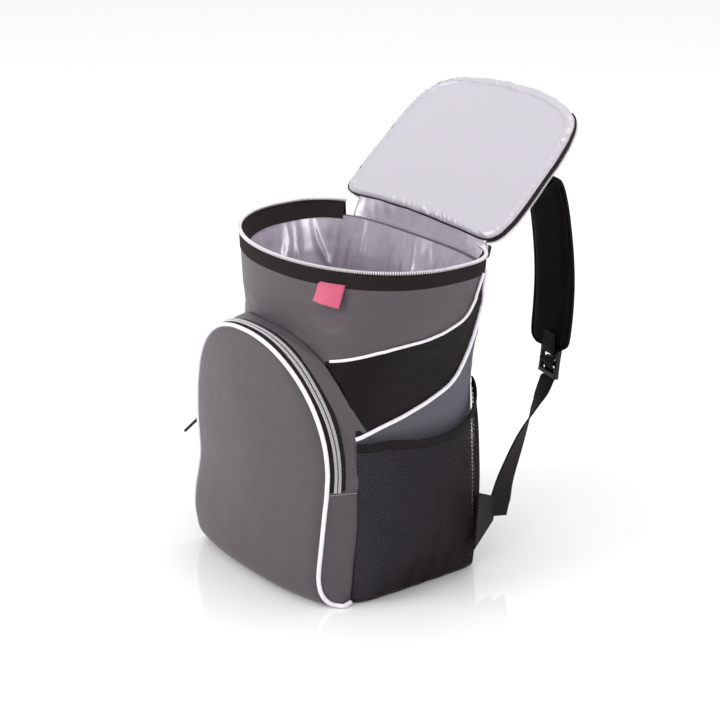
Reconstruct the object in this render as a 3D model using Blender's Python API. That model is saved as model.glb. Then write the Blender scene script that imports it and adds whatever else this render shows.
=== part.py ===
"""Cooler backpack standing on its base with the lid open.

Metres, +Z up, the front pocket faces -Y. The origin is on the floor, at the middle of the base.
"""

import math

import bmesh
import bpy
import numpy as np
from mathutils import Matrix, Vector

# Main compartment
RIM_HALF_WIDTH = 0.134
RIM_FRONT = 0.082
RIM_BACK = 0.092
BODY_HEIGHT = 0.297
WIDEST_Y = 0.020
WALL = 0.005
FLOOR = 0.006
LINING = 0.0010
SEAM_GAP = 0.0004
FACETS = 48
FACET_TURN = 360 / FACETS

# Rim zip
TAPE_HEIGHT = 0.012
TAPE_THICKNESS = 0.0011
TEETH_WIDTH = 0.0032
TEETH_HEIGHT = 0.0024
SLIDER_LENGTH = 0.011
SLIDER_WIDTH = 0.009
SLIDER_HEIGHT = 0.004
PULL_LENGTH = 0.022
PULL_DIAMETER = 0.0030

# Side panels and their piping
PANEL_THICKNESS = 0.0012
PANEL_GAP = 0.0008
PANEL_LEAST = 0.002
PANEL_LIFT_MOST = 3.0
PIPING_DIAMETER = 0.0032
SWOOSH_START = -45.0
SWOOSH_END = 22.5
SWOOSH_CORNER = 0.66
LOWER_PANEL_START = -37.5

# Front pocket
POCKET_HALF_WIDTH = 0.1015
POCKET_SPRING = 0.130
POCKET_RISE = 0.113
POCKET_SEAT = 0.86
POCKET_SIDE_DEPTH = 0.023
POCKET_CROWN = 0.016
POCKET_SAG = 0.006
POCKET_FLARE_UP = 0.008
JUNCTION_TURN = -39.5
POCKET_FLOOR_RADIUS = 0.017
POCKET_WALL = 0.0014
ARCH_SQUARENESS = 2.1
POCKET_TAPE_WIDTH = 0.0150
POCKET_CHAIN_WIDTH = 0.0060
POCKET_CHAIN_THICKNESS = 0.0016
POCKET_ZIP_END = 0.116
POCKET_PIPING_DIAMETER = 0.0040

# Lid
LID_HALF_WIDTH = 0.117
LID_LENGTH = 0.158
LID_THICKNESS = 0.009
LID_BEVEL = 0.002
LID_ANGLE = 40.5
LID_FILM = 0.0010
LID_CENTRE = 0.44
LID_SQUARE_FAR = 3.2
LID_SQUARE_NEAR = 7.0
LID_TAPE_START = -40
LID_TAPE_END = 220
LID_TAPE_DROP = 0.003
LID_TAPE_FOLD = 0.006
HINGE_RISE = 0.026
HINGE_LEAN = 0.002
HINGE_START = 37.5
HINGE_END = 142.5

# Side mesh pockets
MESH_START = -37.5
MESH_END = 22.5
MESH_BULGE = 0.018
MESH_THICKNESS = 0.0010
MESH_FOOT = 0.002
MESH_ROUNDNESS = 0.55
BINDING_WIDTH = 0.008
BINDING_THICKNESS = 0.0016

# Straps
PAD_WIDTH = 0.054
PAD_THICKNESS = 0.010
PAD_END_THICKNESS = 0.004
STRAP_SPACING_TOP = 0.048
STRAP_SPACING_LOW = 0.077
STRAP_REACH = 0.102
STRAP_SEAT = 0.99
WEB_WIDTH = 0.025
WEB_THICKNESS = 0.0016
LOCK_WIDTH = 0.036
LOCK_LENGTH = 0.028
LOCK_THICKNESS = 0.0045
LOCK_BAR = 0.0045
TAB_ROOT = 0.036
TAB_TIP = 0.022
TAB_REACH = 0.030
TAB_HEIGHT = 0.058
TAB_THICKNESS = 0.0016
TAB_TURN = 27

# Label
LABEL_WIDTH = 0.027
LABEL_DROP = 0.020
LABEL_THICKNESS = 0.0008
LABEL_TURN = -50

# The body's sections from the base up. Columns: height as a share of BODY_HEIGHT, half width as a
# share of RIM_HALF_WIDTH, front and back as shares of RIM_FRONT and RIM_BACK, and how square the
# plan is at the front and at the back (2 is an ellipse).
BODY_SECTIONS = (
    (0.000, 0.790, 0.854, 0.870, 12.0, 8.0),
    (0.135, 0.815, 0.927, 0.902, 12.0, 8.0),
    (0.320, 0.835, 0.976, 0.913, 12.0, 7.5),
    (0.471, 0.840, 0.988, 0.924, 11.0, 5.4),
    (0.623, 0.840, 1.000, 0.924, 7.0, 4.4),
    (0.724, 0.860, 1.000, 0.935, 4.8, 4.4),
    (0.815, 0.892, 1.000, 0.957, 3.5, 4.2),
    (0.892, 0.937, 1.000, 0.978, 2.7, 3.8),
    (0.966, 0.959, 1.000, 0.989, 2.3, 3.4),
    (1.040, 1.000, 1.000, 1.000, 2.05, 3.2),
)

# The curved seams of the side. Columns: turn round the body in degrees, then heights as shares of
# BODY_HEIGHT for the swoosh's upper edge, its lower edge, and the top of the net pocket.
SIDE_SEAMS = (
    (-48, 0.776, 0.540, 0.540),
    (-42, 0.787, 0.549, 0.540),
    (-36, 0.798, 0.560, 0.535),
    (-30, 0.808, 0.574, 0.524),
    (-18, 0.820, 0.593, 0.503),
    (-6, 0.827, 0.618, 0.495),
    (0, 0.838, 0.636, 0.495),
    (6, 0.855, 0.657, 0.500),
    (12, 0.897, 0.700, 0.508),
    (18, 0.955, 0.790, 0.552),
    (24, 0.985, 0.960, 0.610),
    (30, 0.985, 0.970, 0.640),
)

# The strap's route from the back wall over to the lock. Columns: place between the top and the low
# spacing, reach behind the back wall as a share of STRAP_REACH, height as a share of BODY_HEIGHT,
# and the pad's width as a share of PAD_WIDTH.
PAD_ROUTE = (
    (0.00, 0.035, 0.900, 0.78),
    (0.02, 0.045, 0.948, 0.80),
    (0.07, 0.125, 1.010, 0.84),
    (0.17, 0.290, 1.068, 0.88),
    (0.34, 0.495, 1.122, 0.93),
    (0.52, 0.690, 1.165, 0.98),
    (0.62, 0.850, 1.195, 1.00),
    (0.69, 0.935, 1.125, 1.00),
    (0.79, 0.990, 0.990, 1.00),
    (0.90, 1.000, 0.869, 1.00),
    (0.97, 0.980, 0.768, 1.00),
    (1.00, 0.951, 0.680, 0.98),
    (1.00, 0.940, 0.650, 0.90),
    (1.00, 0.932, 0.628, 0.66),
)

# The lower webbing from the lock to the tab. Columns: place between the low spacing and the tab,
# reach and height as above, and the webbing's turn about its own length in degrees.
WEB_ROUTE = (
    (0.00, 0.880, 0.520, 0),
    (0.10, 0.790, 0.480, 12),
    (0.25, 0.675, 0.440, 38),
    (0.50, 0.440, 0.360, 66),
    (0.86, 0.215, 0.270, 82),
    (1.03, 0.125, 0.215, 90),
    (1.02, 0.100, 0.180, 90),
    (1.01, 0.085, 0.150, 90),
)

# How far the net pocket stands off the body, from its floor seam to its top edge, as shares of
# MESH_BULGE.
MESH_PROFILE = ((0.0, 0.06), (0.12, 0.45), (0.28, 0.85), (0.55, 1.0), (0.85, 0.85), (1.0, 0.50))

# The front pocket's rows: turns over its arch, then below the spring line the height as a share of
# POCKET_SPRING with the half width's share, then turns of the fold under the floor with that share.
ARCH_TURNS = (90, 78, 66, 54, 42, 28, 14, 0)
POCKET_SIDES = ((0.72, 0.97), (0.46, 0.92), (0.24, 0.885))
POCKET_FOLD = ((0, 0.90), (30, 0.92), (60, 0.95), (90, 0.98))

# A section of a shoulder pad: shares of its half width and of its half thickness.
PAD_SECTION = ((-1, -0.35), (-0.92, -0.85), (-0.5, -1), (0.5, -1), (0.92, -0.85), (1, -0.35),
               (1, 0.35), (0.92, 0.85), (0.5, 1), (-0.5, 1), (-0.92, 0.85), (-1, 0.35))

COLLECTION = "cooler_backpack"


def clear_scene():
    for thing in list(bpy.data.objects):
        bpy.data.objects.remove(thing, do_unlink=True)


def make_collections():
    parts = bpy.data.collections.new(COLLECTION)
    cutters = bpy.data.collections.new("cutters")
    bpy.context.scene.collection.children.link(parts)
    bpy.context.scene.collection.children.link(cutters)
    return parts, cutters


def finish_material(name, colour, roughness, metallic=0.0):
    material = bpy.data.materials.new(name)
    material.use_nodes = True
    shader = material.node_tree.nodes["Principled BSDF"]
    shader.inputs["Base Color"].default_value = (*colour, 1.0)
    shader.inputs["Roughness"].default_value = roughness
    shader.inputs["Metallic"].default_value = metallic
    return material


GREY_NYLON = ((0.125, 0.115, 0.125), 0.5)
BLUE_GREY_NYLON = ((0.120, 0.135, 0.150), 0.5)
BLACK_NYLON = ((0.020, 0.012, 0.016), 0.6)
BLACK_WEBBING = ((0.014, 0.010, 0.011), 0.8)
SILVER_FILM = ((0.52, 0.49, 0.54), 0.3)
WHITE_PIPING = ((0.86, 0.84, 0.85), 0.4)
STEEL_TEETH = ((0.55, 0.54, 0.55), 0.35, 0.6)
PINK_TAG = ((0.80, 0.13, 0.28), 0.7)
BLACK_PLASTIC = ((0.012, 0.010, 0.011), 0.35)


def add_mesh(name, mesh_data, parts, finish):
    """Turn a finished bmesh into one named object in the collection.

    Quads are split along their short diagonal, so that pieces laid on each other fold alike.
    """
    bmesh.ops.remove_doubles(mesh_data, verts=mesh_data.verts, dist=1e-6)
    bmesh.ops.recalc_face_normals(mesh_data, faces=mesh_data.faces)
    bmesh.ops.triangulate(mesh_data, faces=mesh_data.faces, quad_method="SHORT_EDGE")
    mesh = bpy.data.meshes.new(name)
    mesh_data.to_mesh(mesh)
    mesh_data.free()
    thing = bpy.data.objects.new(name, mesh)
    thing.data.materials.append(finish_material(name, *finish))
    parts.objects.link(thing)
    return thing


def slab(name, columns, rows, place, parts, finish):
    """A sheet with a thickness: place(u, v, depth) gives its points, depth 0 inside and 1 outside."""
    sheet = bmesh.new()
    bmesh.ops.create_grid(sheet, x_segments=columns, y_segments=rows, size=0.5)
    grown = bmesh.ops.extrude_face_region(sheet, geom=sheet.faces[:], use_keep_orig=True)
    outer = {item for item in grown["geom"] if isinstance(item, bmesh.types.BMVert)}
    for vertex in sheet.verts:
        depth = 1.0 if vertex in outer else 0.0
        vertex.co = place(vertex.co.x + 0.5, vertex.co.y + 0.5, depth)
    return add_mesh(name, sheet, parts, finish)


def loft(name, rings, parts, finish):
    """Skin closed rings of equal count, capped at both ends."""
    skin = bmesh.new()
    loops = [[skin.verts.new(point) for point in ring] for ring in rings]
    for lower, upper in zip(loops, loops[1:]):
        count = len(lower)
        for index in range(count):
            following = (index + 1) % count
            skin.faces.new((lower[index], lower[following], upper[following], upper[index]))
    skin.faces.new(list(reversed(loops[0])))
    skin.faces.new(loops[-1])
    return add_mesh(name, skin, parts, finish)


def smooth_route(rows, stations):
    """Catmull-Rom through the rows of a table, at even steps; every column is smoothed alike."""
    table = np.array(rows, dtype=float)
    padded = np.vstack([2 * table[0] - table[1], table, 2 * table[-1] - table[-2]])
    result = []
    for step in range(stations):
        place = step / (stations - 1) * (len(table) - 1)
        index = min(int(place), len(table) - 2)
        t = place - index
        before, start, end, after = padded[index:index + 4]
        result.append(0.5 * (2 * start + (end - before) * t
                             + (2 * before - 5 * start + 4 * end - after) * t ** 2
                             + (3 * start - before - 3 * end + after) * t ** 3))
    return result


def body_plan(turn, height, offset=0.0):
    """A point of the body's outer surface, turned in degrees from +X towards the back."""
    table = np.array(BODY_SECTIONS)
    share = height / BODY_HEIGHT
    side, front, back, square_front, square_back = (
        np.interp(share, table[:, 0], table[:, column]) for column in range(1, 6))

    def on_curve(angle):
        across, along = math.cos(angle), math.sin(angle)
        depth = RIM_BACK * back - WIDEST_Y if along >= 0 else RIM_FRONT * front + WIDEST_Y
        square = square_back if along >= 0 else square_front
        radius = (abs(across / (RIM_HALF_WIDTH * side)) ** square
                  + abs(along / depth) ** square) ** (-1 / square)
        return Vector((radius * across, WIDEST_Y + radius * along, height))

    angle = math.radians(turn)
    point = on_curve(angle)
    if offset:
        edge = on_curve(angle + 0.01) - on_curve(angle - 0.01)
        point += Vector((edge.y, -edge.x, 0)).normalized() * offset
    return point


def body_ring(height, offset):
    return [body_plan(360 * facet / FACETS, height, offset) for facet in range(FACETS)]


def facets_between(start, end):
    """How many facets of the body lie between two turns; a piece laid on it is cut alike."""
    return round((end - start) * FACETS / 360)


def side_height(turn, column):
    table = np.array(SIDE_SEAMS)
    return float(np.interp(turn, table[:, 0], table[:, column])) * BODY_HEIGHT


def mirrored(point, side):
    return Vector((point.x * side, point.y, point.z))


def build_body(parts):
    heights = [row[0] * BODY_HEIGHT for row in BODY_SECTIONS if row[0] < 1.0] + [BODY_HEIGHT]
    outside = [body_ring(height, 0.0) for height in heights]
    inner_heights = [FLOOR] + [height for height in heights if height > FLOOR + WALL]
    inside = [body_ring(height, -WALL) for height in reversed(inner_heights)]
    loft("body_shell", outside + inside, parts, GREY_NYLON)

    face = -WALL - SEAM_GAP
    foot = FLOOR + SEAM_GAP
    lining_heights = [foot] + inner_heights[1:]
    outside = [body_ring(height, face) for height in lining_heights]
    lining_heights[0] = foot + LINING
    inside = [body_ring(height, face - LINING) for height in reversed(lining_heights)]
    loft("lining", outside + inside, parts, SILVER_FILM)


def build_rim(parts):
    start, end = HINGE_END - 360 + FACET_TURN, HINGE_START - FACET_TURN
    foot = BODY_HEIGHT + SEAM_GAP
    top = foot + TAPE_HEIGHT

    def tape(u, v, depth):
        turn = start + (end - start) * u
        return body_plan(turn, foot + TAPE_HEIGHT * v, -SEAM_GAP - TAPE_THICKNESS * (1 - depth))

    def teeth(u, v, depth):
        turn = start + (end - start) * u
        middle = -SEAM_GAP - TAPE_THICKNESS / 2
        across = TEETH_WIDTH * (depth - 0.5)
        point = body_plan(turn, top, middle + across)
        point.z += SEAM_GAP + TEETH_HEIGHT * v
        return point

    columns = facets_between(start, end)
    slab("rim_tape", columns, 1, tape, parts, BLACK_WEBBING)
    slab("rim_teeth", columns, 1, teeth, parts, STEEL_TEETH)

    def strip(u, v, depth):
        turn = HINGE_START + (HINGE_END - HINGE_START) * u
        foot_point = body_plan(turn, BODY_HEIGHT, -SEAM_GAP - PANEL_THICKNESS * (1 - depth))
        face = body_plan(turn, BODY_HEIGHT, -SEAM_GAP)
        lean = (RIM_BACK + HINGE_LEAN - face.y) * v
        return foot_point + Vector((0, lean, SEAM_GAP + HINGE_RISE * v))

    slab("hinge_strip", facets_between(HINGE_START, HINGE_END), 2, strip, parts, GREY_NYLON)

    # The slider is parked at the back right end of the chain, with its cord pull hanging.
    stop = body_plan(end, top, 0)
    ahead = (body_plan(end, top) - body_plan(end - 3, top)).normalized()
    centre = stop + ahead * (SLIDER_LENGTH / 2 + SEAM_GAP * 2)
    centre.z = top + TEETH_HEIGHT / 2
    add_box("rim_slider", (SLIDER_LENGTH, SLIDER_WIDTH, SLIDER_HEIGHT), centre,
            math.atan2(ahead.y, ahead.x), parts, STEEL_TEETH)
    outward = Vector((ahead.y, -ahead.x, 0))
    root = centre + outward * (SLIDER_WIDTH / 2 + PULL_DIAMETER / 2 + SEAM_GAP)
    drop = Vector((0, 0, -PULL_LENGTH))
    route = [root, root + drop * 0.4 + outward * 0.001, root + drop + outward * 0.002]
    tube("rim_pull", route, PULL_DIAMETER, parts, BLACK_WEBBING)


def add_box(name, size, centre, turn, parts, finish):
    block = bmesh.new()
    bmesh.ops.create_cube(block, size=1.0)
    bmesh.ops.scale(block, vec=size, verts=block.verts)
    bmesh.ops.bevel(block, geom=block.edges[:], offset=min(size) * 0.25, segments=1,
                    affect="EDGES", profile=0.5, material=-1)
    matrix = Matrix.Translation(centre) @ Matrix.Rotation(turn, 4, "Z")
    bmesh.ops.transform(block, matrix=matrix, verts=block.verts)
    return add_mesh(name, block, parts, finish)


def tube(name, route, diameter, parts, finish):
    """A round cord or piping: a six-sided tube along its points, as a mesh of rings."""
    rings = []
    for index, point in enumerate(route):
        before = route[max(index - 1, 0)]
        after = route[min(index + 1, len(route) - 1)]
        along = (after - before).normalized()
        side = along.cross(Vector((0, 0, 1)) if abs(along.z) < 0.9 else Vector((1, 0, 0)))
        side.normalize()
        rise = side.cross(along)
        rings.append([point + diameter / 2 * (math.cos(a) * side + math.sin(a) * rise)
                      for a in (math.tau * k / 6 for k in range(6))])
    return loft(name, rings, parts, finish)


def steepness(turn, column):
    """How much longer a seam is than its run round the body: 1 where it lies level."""
    low, high = turn - 2, turn + 2
    rise = side_height(high, column) - side_height(low, column)
    level = side_height(turn, column)
    run = (body_plan(high, level) - body_plan(low, level)).length
    return math.hypot(1, rise / run)


def seam_margin(turn, column):
    """How far above or below a seam a panel stops, so that the piping fits in the seam."""
    return (PIPING_DIAMETER / 2 + SEAM_GAP * 2) * steepness(turn, column)


def panel_lift(turn):
    """The panels' gap to the body, wider where the steep seam cuts across the body's facets."""
    return PANEL_GAP * min(steepness(turn, 2), PANEL_LIFT_MOST)


def build_sides(parts):
    """Black swoosh, lower panel and white piping of each side, laid on the body."""
    for side, hand in ((1, "right"), (-1, "left")):

        def on_side(turn, height, offset):
            return mirrored(body_plan(turn, height, offset), side)

        def black(u, v, depth):
            turn = SWOOSH_START + (SWOOSH_END - SWOOSH_START) * u
            low = side_height(turn, 2) + seam_margin(turn, 2)
            if turn < LOWER_PANEL_START:
                low = max(low, POCKET_SPRING + POCKET_RISE * SWOOSH_CORNER)
            high = max(side_height(turn, 1) - seam_margin(turn, 1), low + PANEL_LEAST)
            return on_side(turn, low + (high - low) * v, panel_lift(turn) + PANEL_THICKNESS * depth)

        def lower(u, v, depth):
            turn = LOWER_PANEL_START + (SWOOSH_END - LOWER_PANEL_START) * u
            low = FLOOR
            high = side_height(turn, 2) - seam_margin(turn, 2)
            return on_side(turn, low + (high - low) * v, panel_lift(turn) + PANEL_THICKNESS * depth)

        slab(f"side_panel_black_{hand}", facets_between(SWOOSH_START, SWOOSH_END), 5, black,
             parts, BLACK_NYLON)
        slab(f"side_panel_lower_{hand}", facets_between(LOWER_PANEL_START, SWOOSH_END), 8, lower,
             parts, BLUE_GREY_NYLON)
        for column, label, start in ((1, "upper", SWOOSH_START), (2, "lower", LOWER_PANEL_START)):
            stations = facets_between(start, SWOOSH_END)
            turns = [start + (SWOOSH_END - start) * k / stations for k in range(stations + 1)]
            route = [on_side(turn, side_height(turn, column), PIPING_DIAMETER / 2 + panel_lift(turn))
                     for turn in turns]
            tube(f"swoosh_piping_{label}_{hand}", route, PIPING_DIAMETER, parts, WHITE_PIPING)


def build_net_pockets(parts):
    columns = facets_between(MESH_START, MESH_END)
    profile = np.array(MESH_PROFILE)
    for side, hand in ((1, "right"), (-1, "left")):

        def surface(u, v, extra):
            turn = MESH_START + (MESH_END - MESH_START) * u
            top = side_height(turn, 3) - BINDING_WIDTH
            height = MESH_FOOT + (top - MESH_FOOT) * v
            bulge = MESH_BULGE * max(math.sin(math.pi * u), 0) ** MESH_ROUNDNESS
            bulge *= float(np.interp(v, profile[:, 0], profile[:, 1]))
            stand_off = panel_lift(turn) + PANEL_THICKNESS + SEAM_GAP
            return body_plan(turn, height, stand_off + bulge + extra)

        def net(u, v, depth):
            return mirrored(surface(u, v, MESH_THICKNESS * depth), side)

        def binding(u, v, depth):
            inner = (MESH_THICKNESS - BINDING_THICKNESS) / 2
            point = surface(u, 1.0, inner + BINDING_THICKNESS * depth)
            point.z += SEAM_GAP + BINDING_WIDTH * v
            return mirrored(point, side)

        slab(f"mesh_pocket_{hand}", columns, 8, net, parts, BLACK_WEBBING)
        slab(f"mesh_binding_{hand}", columns, 1, binding, parts, BLACK_WEBBING)


def arch_point(turn):
    """The pocket's outline seen from the front, at turn degrees above the spring line."""
    across, up = math.cos(math.radians(turn)), math.sin(math.radians(turn))
    power = 2 / ARCH_SQUARENESS
    return (POCKET_HALF_WIDTH * max(across, 0) ** power,
            POCKET_SPRING + POCKET_RISE * max(up, 0) ** power)


def body_front(x, height):
    """The body's front face at x: where a line along Y meets it."""
    low, high = -90.0, 0.0
    for _ in range(40):
        middle = (low + high) / 2
        if body_plan(middle, height).x < abs(x):
            low = middle
        else:
            high = middle
    return body_plan(low, height).y


def pocket_rows():
    """The panel's rows from its apex to the body's base: half width, height, side y, crown, and
    which way is inwards as y and z."""
    rows = []
    deep = -(RIM_FRONT * POCKET_SEAT + POCKET_SIDE_DEPTH)
    for turn in ARCH_TURNS:
        half, height = arch_point(turn)
        rows.append((half, height, deep, POCKET_CROWN, 1.0, 0.0))
    for share, narrow in POCKET_SIDES:
        crown = POCKET_CROWN - POCKET_SAG * (1 - share) ** 2
        rows.append((POCKET_HALF_WIDTH * narrow, POCKET_SPRING * share, deep, crown, 1.0, 0.0))
    crown = POCKET_CROWN - POCKET_SAG
    radius = POCKET_FLOOR_RADIUS
    for angle, narrow in POCKET_FOLD:
        bend = math.radians(angle)
        rows.append((POCKET_HALF_WIDTH * narrow,
                     POCKET_WALL + radius * (1 - math.sin(bend)),
                     deep + radius * (1 - math.cos(bend)),
                     crown, math.cos(bend), math.sin(bend)))
    back = -RIM_FRONT * BODY_SECTIONS[0][2] - SEAM_GAP * 2
    rows.append((POCKET_HALF_WIDTH * POCKET_FOLD[-1][1], POCKET_WALL, back, 0.0, 0.0, 1.0))
    return rows


def pocket_panel_point(row, share):
    """A point of the panel's outer face: share -1 to 1 across the row."""
    half, height, side_y, crown = row[:4]
    x = half * share
    return Vector((x, side_y - crown * (1 - (x / POCKET_HALF_WIDTH) ** 2), height))


def pocket_edge():
    """The panel's right edge from the body's base up to the apex, then down the left side."""
    right = [pocket_panel_point(row, 1.0) for row in reversed(pocket_rows())]
    left = [mirrored(point, -1) for point in reversed(right[:-1])]
    return right + left


def pocket_junction():
    """Where the gusset meets the body, for each point of the panel's edge."""
    flare = body_plan(JUNCTION_TURN, POCKET_SPRING).x - POCKET_HALF_WIDTH
    result = []
    for edge in pocket_edge():
        side = 1 if edge.x >= 0 else -1
        if edge.z <= POCKET_SPRING:
            point = body_plan(JUNCTION_TURN, max(edge.z, POCKET_WALL), SEAM_GAP * 2)
            result.append(mirrored(point, side))
            continue
        rise = min((edge.z - POCKET_SPRING) / POCKET_RISE, 1.0)
        run = math.sqrt(1 - rise * rise)
        x = edge.x + side * flare * math.sqrt(run)
        z = edge.z + POCKET_FLARE_UP * 2 * rise * run
        result.append(Vector((x, body_front(x, z) - SEAM_GAP * 3, z)))
    return result


def gusset_frame():
    """Edge, junction and outward direction at each station of the gusset."""
    edges, junctions = pocket_edge(), pocket_junction()
    frames = []
    for index, (edge, junction) in enumerate(zip(edges, junctions)):
        before = edges[max(index - 1, 0)]
        after = edges[min(index + 1, len(edges) - 1)]
        back = (junction - edge).normalized()
        outward = back.cross(after - before).normalized()
        centre = Vector((0, edge.y, POCKET_SPRING * 0.5))
        if outward.dot(edge - centre) < 0:
            outward.negate()
        if edge.z < POCKET_FLOOR_RADIUS:
            outward = Vector((math.copysign(back.y, edge.x), -abs(back.x), 0)).normalized()
        start = edge + back * (POCKET_PIPING_DIAMETER / 2 + POCKET_WALL + SEAM_GAP)
        if edge.z < POCKET_FLOOR_RADIUS:
            start.x += math.copysign(POCKET_WALL * 1.5, edge.x)
        frames.append((start, junction, outward))
    return frames[2:-2]


def build_pocket(parts):
    rows = pocket_rows()
    count = len(rows)

    def panel(u, v, depth):
        row = rows[round(v * (count - 1))]
        point = pocket_panel_point(row, 2 * u - 1)
        return point + Vector((0, row[4], row[5])) * POCKET_WALL * (1 - depth)

    slab("pocket_panel", 10, count - 1, panel, parts, GREY_NYLON)

    frames = gusset_frame()
    last = len(frames) - 1

    def gusset(u, v, depth):
        start, junction, outward = frames[round(u * last)]
        return start.lerp(junction, v) - outward * POCKET_WALL * (1 - depth)

    slab("pocket_gusset", last, 2, gusset, parts, GREY_NYLON)

    # The zip runs over the arch, from one horizontal seam to the other.
    zipped = [index for index, frame in enumerate(frames) if frame[0].z > POCKET_SPRING - 0.001]
    first, final = zipped[0], zipped[-1]
    drop = POCKET_SPRING - POCKET_ZIP_END

    def zip_band(low, high, base, thickness):
        def band(u, v, depth):
            index = first + round((final - first) * u)
            start, junction, outward = frames[index]
            back = (junction - start).normalized()
            point = start + back * (low + (high - low) * v) + outward * (base + thickness * depth)
            if index in (first, final):
                point.z -= drop
            return point
        return band

    chain_start = (POCKET_TAPE_WIDTH - POCKET_CHAIN_WIDTH) / 2
    slab("pocket_tape", final - first, 1,
         zip_band(SEAM_GAP, POCKET_TAPE_WIDTH, PANEL_GAP, PANEL_THICKNESS), parts, BLACK_WEBBING)
    chain = zip_band(chain_start, chain_start + POCKET_CHAIN_WIDTH,
                     PANEL_GAP + SEAM_GAP + PANEL_THICKNESS, POCKET_CHAIN_THICKNESS)
    slab("pocket_chain", final - first, 1, chain, parts, STEEL_TEETH)

    # The slider is closed at the left end of the chain, and its cord pull stands out.
    centre = (chain(1.0, 0.0, 1.0) + chain(1.0, 1.0, 1.0)) / 2
    outward = frames[final][2]
    centre += outward * (SEAM_GAP * 3 + SLIDER_HEIGHT / 2) + Vector((0, 0, SLIDER_LENGTH / 2))
    add_box("pocket_slider", (SLIDER_HEIGHT, SLIDER_WIDTH, SLIDER_LENGTH), centre, 0.0,
            parts, STEEL_TEETH)
    root = centre + outward * (SLIDER_HEIGHT / 2 + PULL_DIAMETER / 2 + SEAM_GAP)
    reach = Vector((-0.25, -0.72, -0.65)).normalized() * PULL_LENGTH
    tube("pocket_pull", [root, root + reach * 0.5, root + reach], PULL_DIAMETER, parts,
         BLACK_WEBBING)

    # White piping along the panel's edge and back under the gusset to the body's corner.
    lift = POCKET_PIPING_DIAMETER / 2
    piping = []
    for edge, (_, _, outward) in zip(pocket_edge()[2:-2], frames):
        if edge.z < POCKET_FLOOR_RADIUS:
            outward = Vector((math.copysign(1, edge.x), 0, 0))
        point = edge + outward * (lift + SEAM_GAP)
        point.z = max(point.z, lift + SEAM_GAP)
        piping.append(point)
    tube("pocket_piping", piping, POCKET_PIPING_DIAMETER, parts, WHITE_PIPING)


def lid_root():
    """The middle of the film's near edge; the lid's near face then just meets the hinge strip."""
    back = math.sin(math.radians(LID_ANGLE)) * (LID_FILM + SEAM_GAP + LID_BEVEL)
    return Vector((0.0, RIM_BACK + HINGE_LEAN + SEAM_GAP - back, BODY_HEIGHT + HINGE_RISE))


def lid_axes():
    angle = math.radians(LID_ANGLE)
    return Vector((0, math.cos(angle), math.sin(angle))), Vector((0, -math.sin(angle), math.cos(angle)))


def lid_outline(turn, grow=0.0):
    """The lid's D shape in its own plane: half width across, and the way from the hinge."""
    centre = LID_LENGTH * LID_CENTRE
    angle = math.radians(turn)
    across, along = math.cos(angle), math.sin(angle)
    depth = (LID_LENGTH - centre if along >= 0 else centre) + grow
    square = LID_SQUARE_FAR if along >= 0 else LID_SQUARE_NEAR
    radius = (abs(across / (LID_HALF_WIDTH + grow)) ** square
              + abs(along / depth) ** square) ** (-1 / square)
    return radius * across, centre + radius * along


def lid_point(turn, grow, depth):
    """Depth is measured from the film side towards the outer fabric, downwards and back."""
    ahead, normal = lid_axes()
    across, way = lid_outline(turn, grow)
    return lid_root() + Vector((across, 0, 0)) + ahead * way - normal * depth


def build_lid(parts):
    turns = range(0, 360, 10)

    def ring(grow, depth):
        return [lid_point(turn, grow, depth) for turn in turns]

    top = LID_FILM + SEAM_GAP
    bottom = top + LID_THICKNESS
    soft = LID_BEVEL * 1.5
    loft("lid", [ring(-LID_BEVEL * 2, top), ring(0.0, top + LID_BEVEL), ring(0.0, bottom - soft),
                 ring(-soft, bottom - soft / 3), ring(-soft * 3, bottom)], parts, GREY_NYLON)
    loft("lid_film", [ring(-LID_BEVEL * 2, LID_FILM), ring(-LID_BEVEL * 2, 0.0)], parts,
         SILVER_FILM)

    start, end = LID_TAPE_START, LID_TAPE_END

    def tape(u, v, depth):
        turn = start + (end - start) * u
        grow = SEAM_GAP + 0.002 * v + TAPE_THICKNESS * depth
        return lid_point(turn, grow, top + LID_TAPE_DROP + LID_TAPE_FOLD * v)

    def teeth(u, v, depth):
        turn = start + (end - start) * u
        grow = SEAM_GAP + 0.0015 + TEETH_WIDTH * (depth - 0.2)
        depth_there = top + LID_TAPE_DROP + LID_TAPE_FOLD + SEAM_GAP + TEETH_HEIGHT * v
        return lid_point(turn, grow, depth_there)

    columns = (end - start) // 10
    slab("lid_tape", columns, 1, tape, parts, BLACK_WEBBING)
    slab("lid_teeth", columns, 1, teeth, parts, STEEL_TEETH)


def build_label(parts):
    middle = body_plan(LABEL_TURN, BODY_HEIGHT - LABEL_DROP / 2)
    reach = math.degrees(LABEL_WIDTH / 2 / Vector((middle.x, middle.y - WIDEST_Y)).length)

    def tag(u, v, depth):
        turn = LABEL_TURN + reach * (2 * u - 1)
        offset = SEAM_GAP * 2.5 + LABEL_THICKNESS * depth + 0.003 * (1 - v)
        return body_plan(turn, BODY_HEIGHT - LABEL_DROP * (1 - v), offset)

    slab("label", 4, 3, tag, parts, PINK_TAG)


def strip_frames(points, turns):
    """For each station of a strap: its point, its width direction and its face direction."""
    frames = []
    for index, point in enumerate(points):
        before = points[max(index - 1, 0)]
        after = points[min(index + 1, len(points) - 1)]
        along = (after - before).normalized()
        wide = (Vector((1, 0, 0)) - along * along.x).normalized()
        face = along.cross(wide)
        turn = math.radians(turns[index])
        frames.append((point, wide * math.cos(turn) + face * math.sin(turn),
                       face * math.cos(turn) - wide * math.sin(turn)))
    return frames


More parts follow.
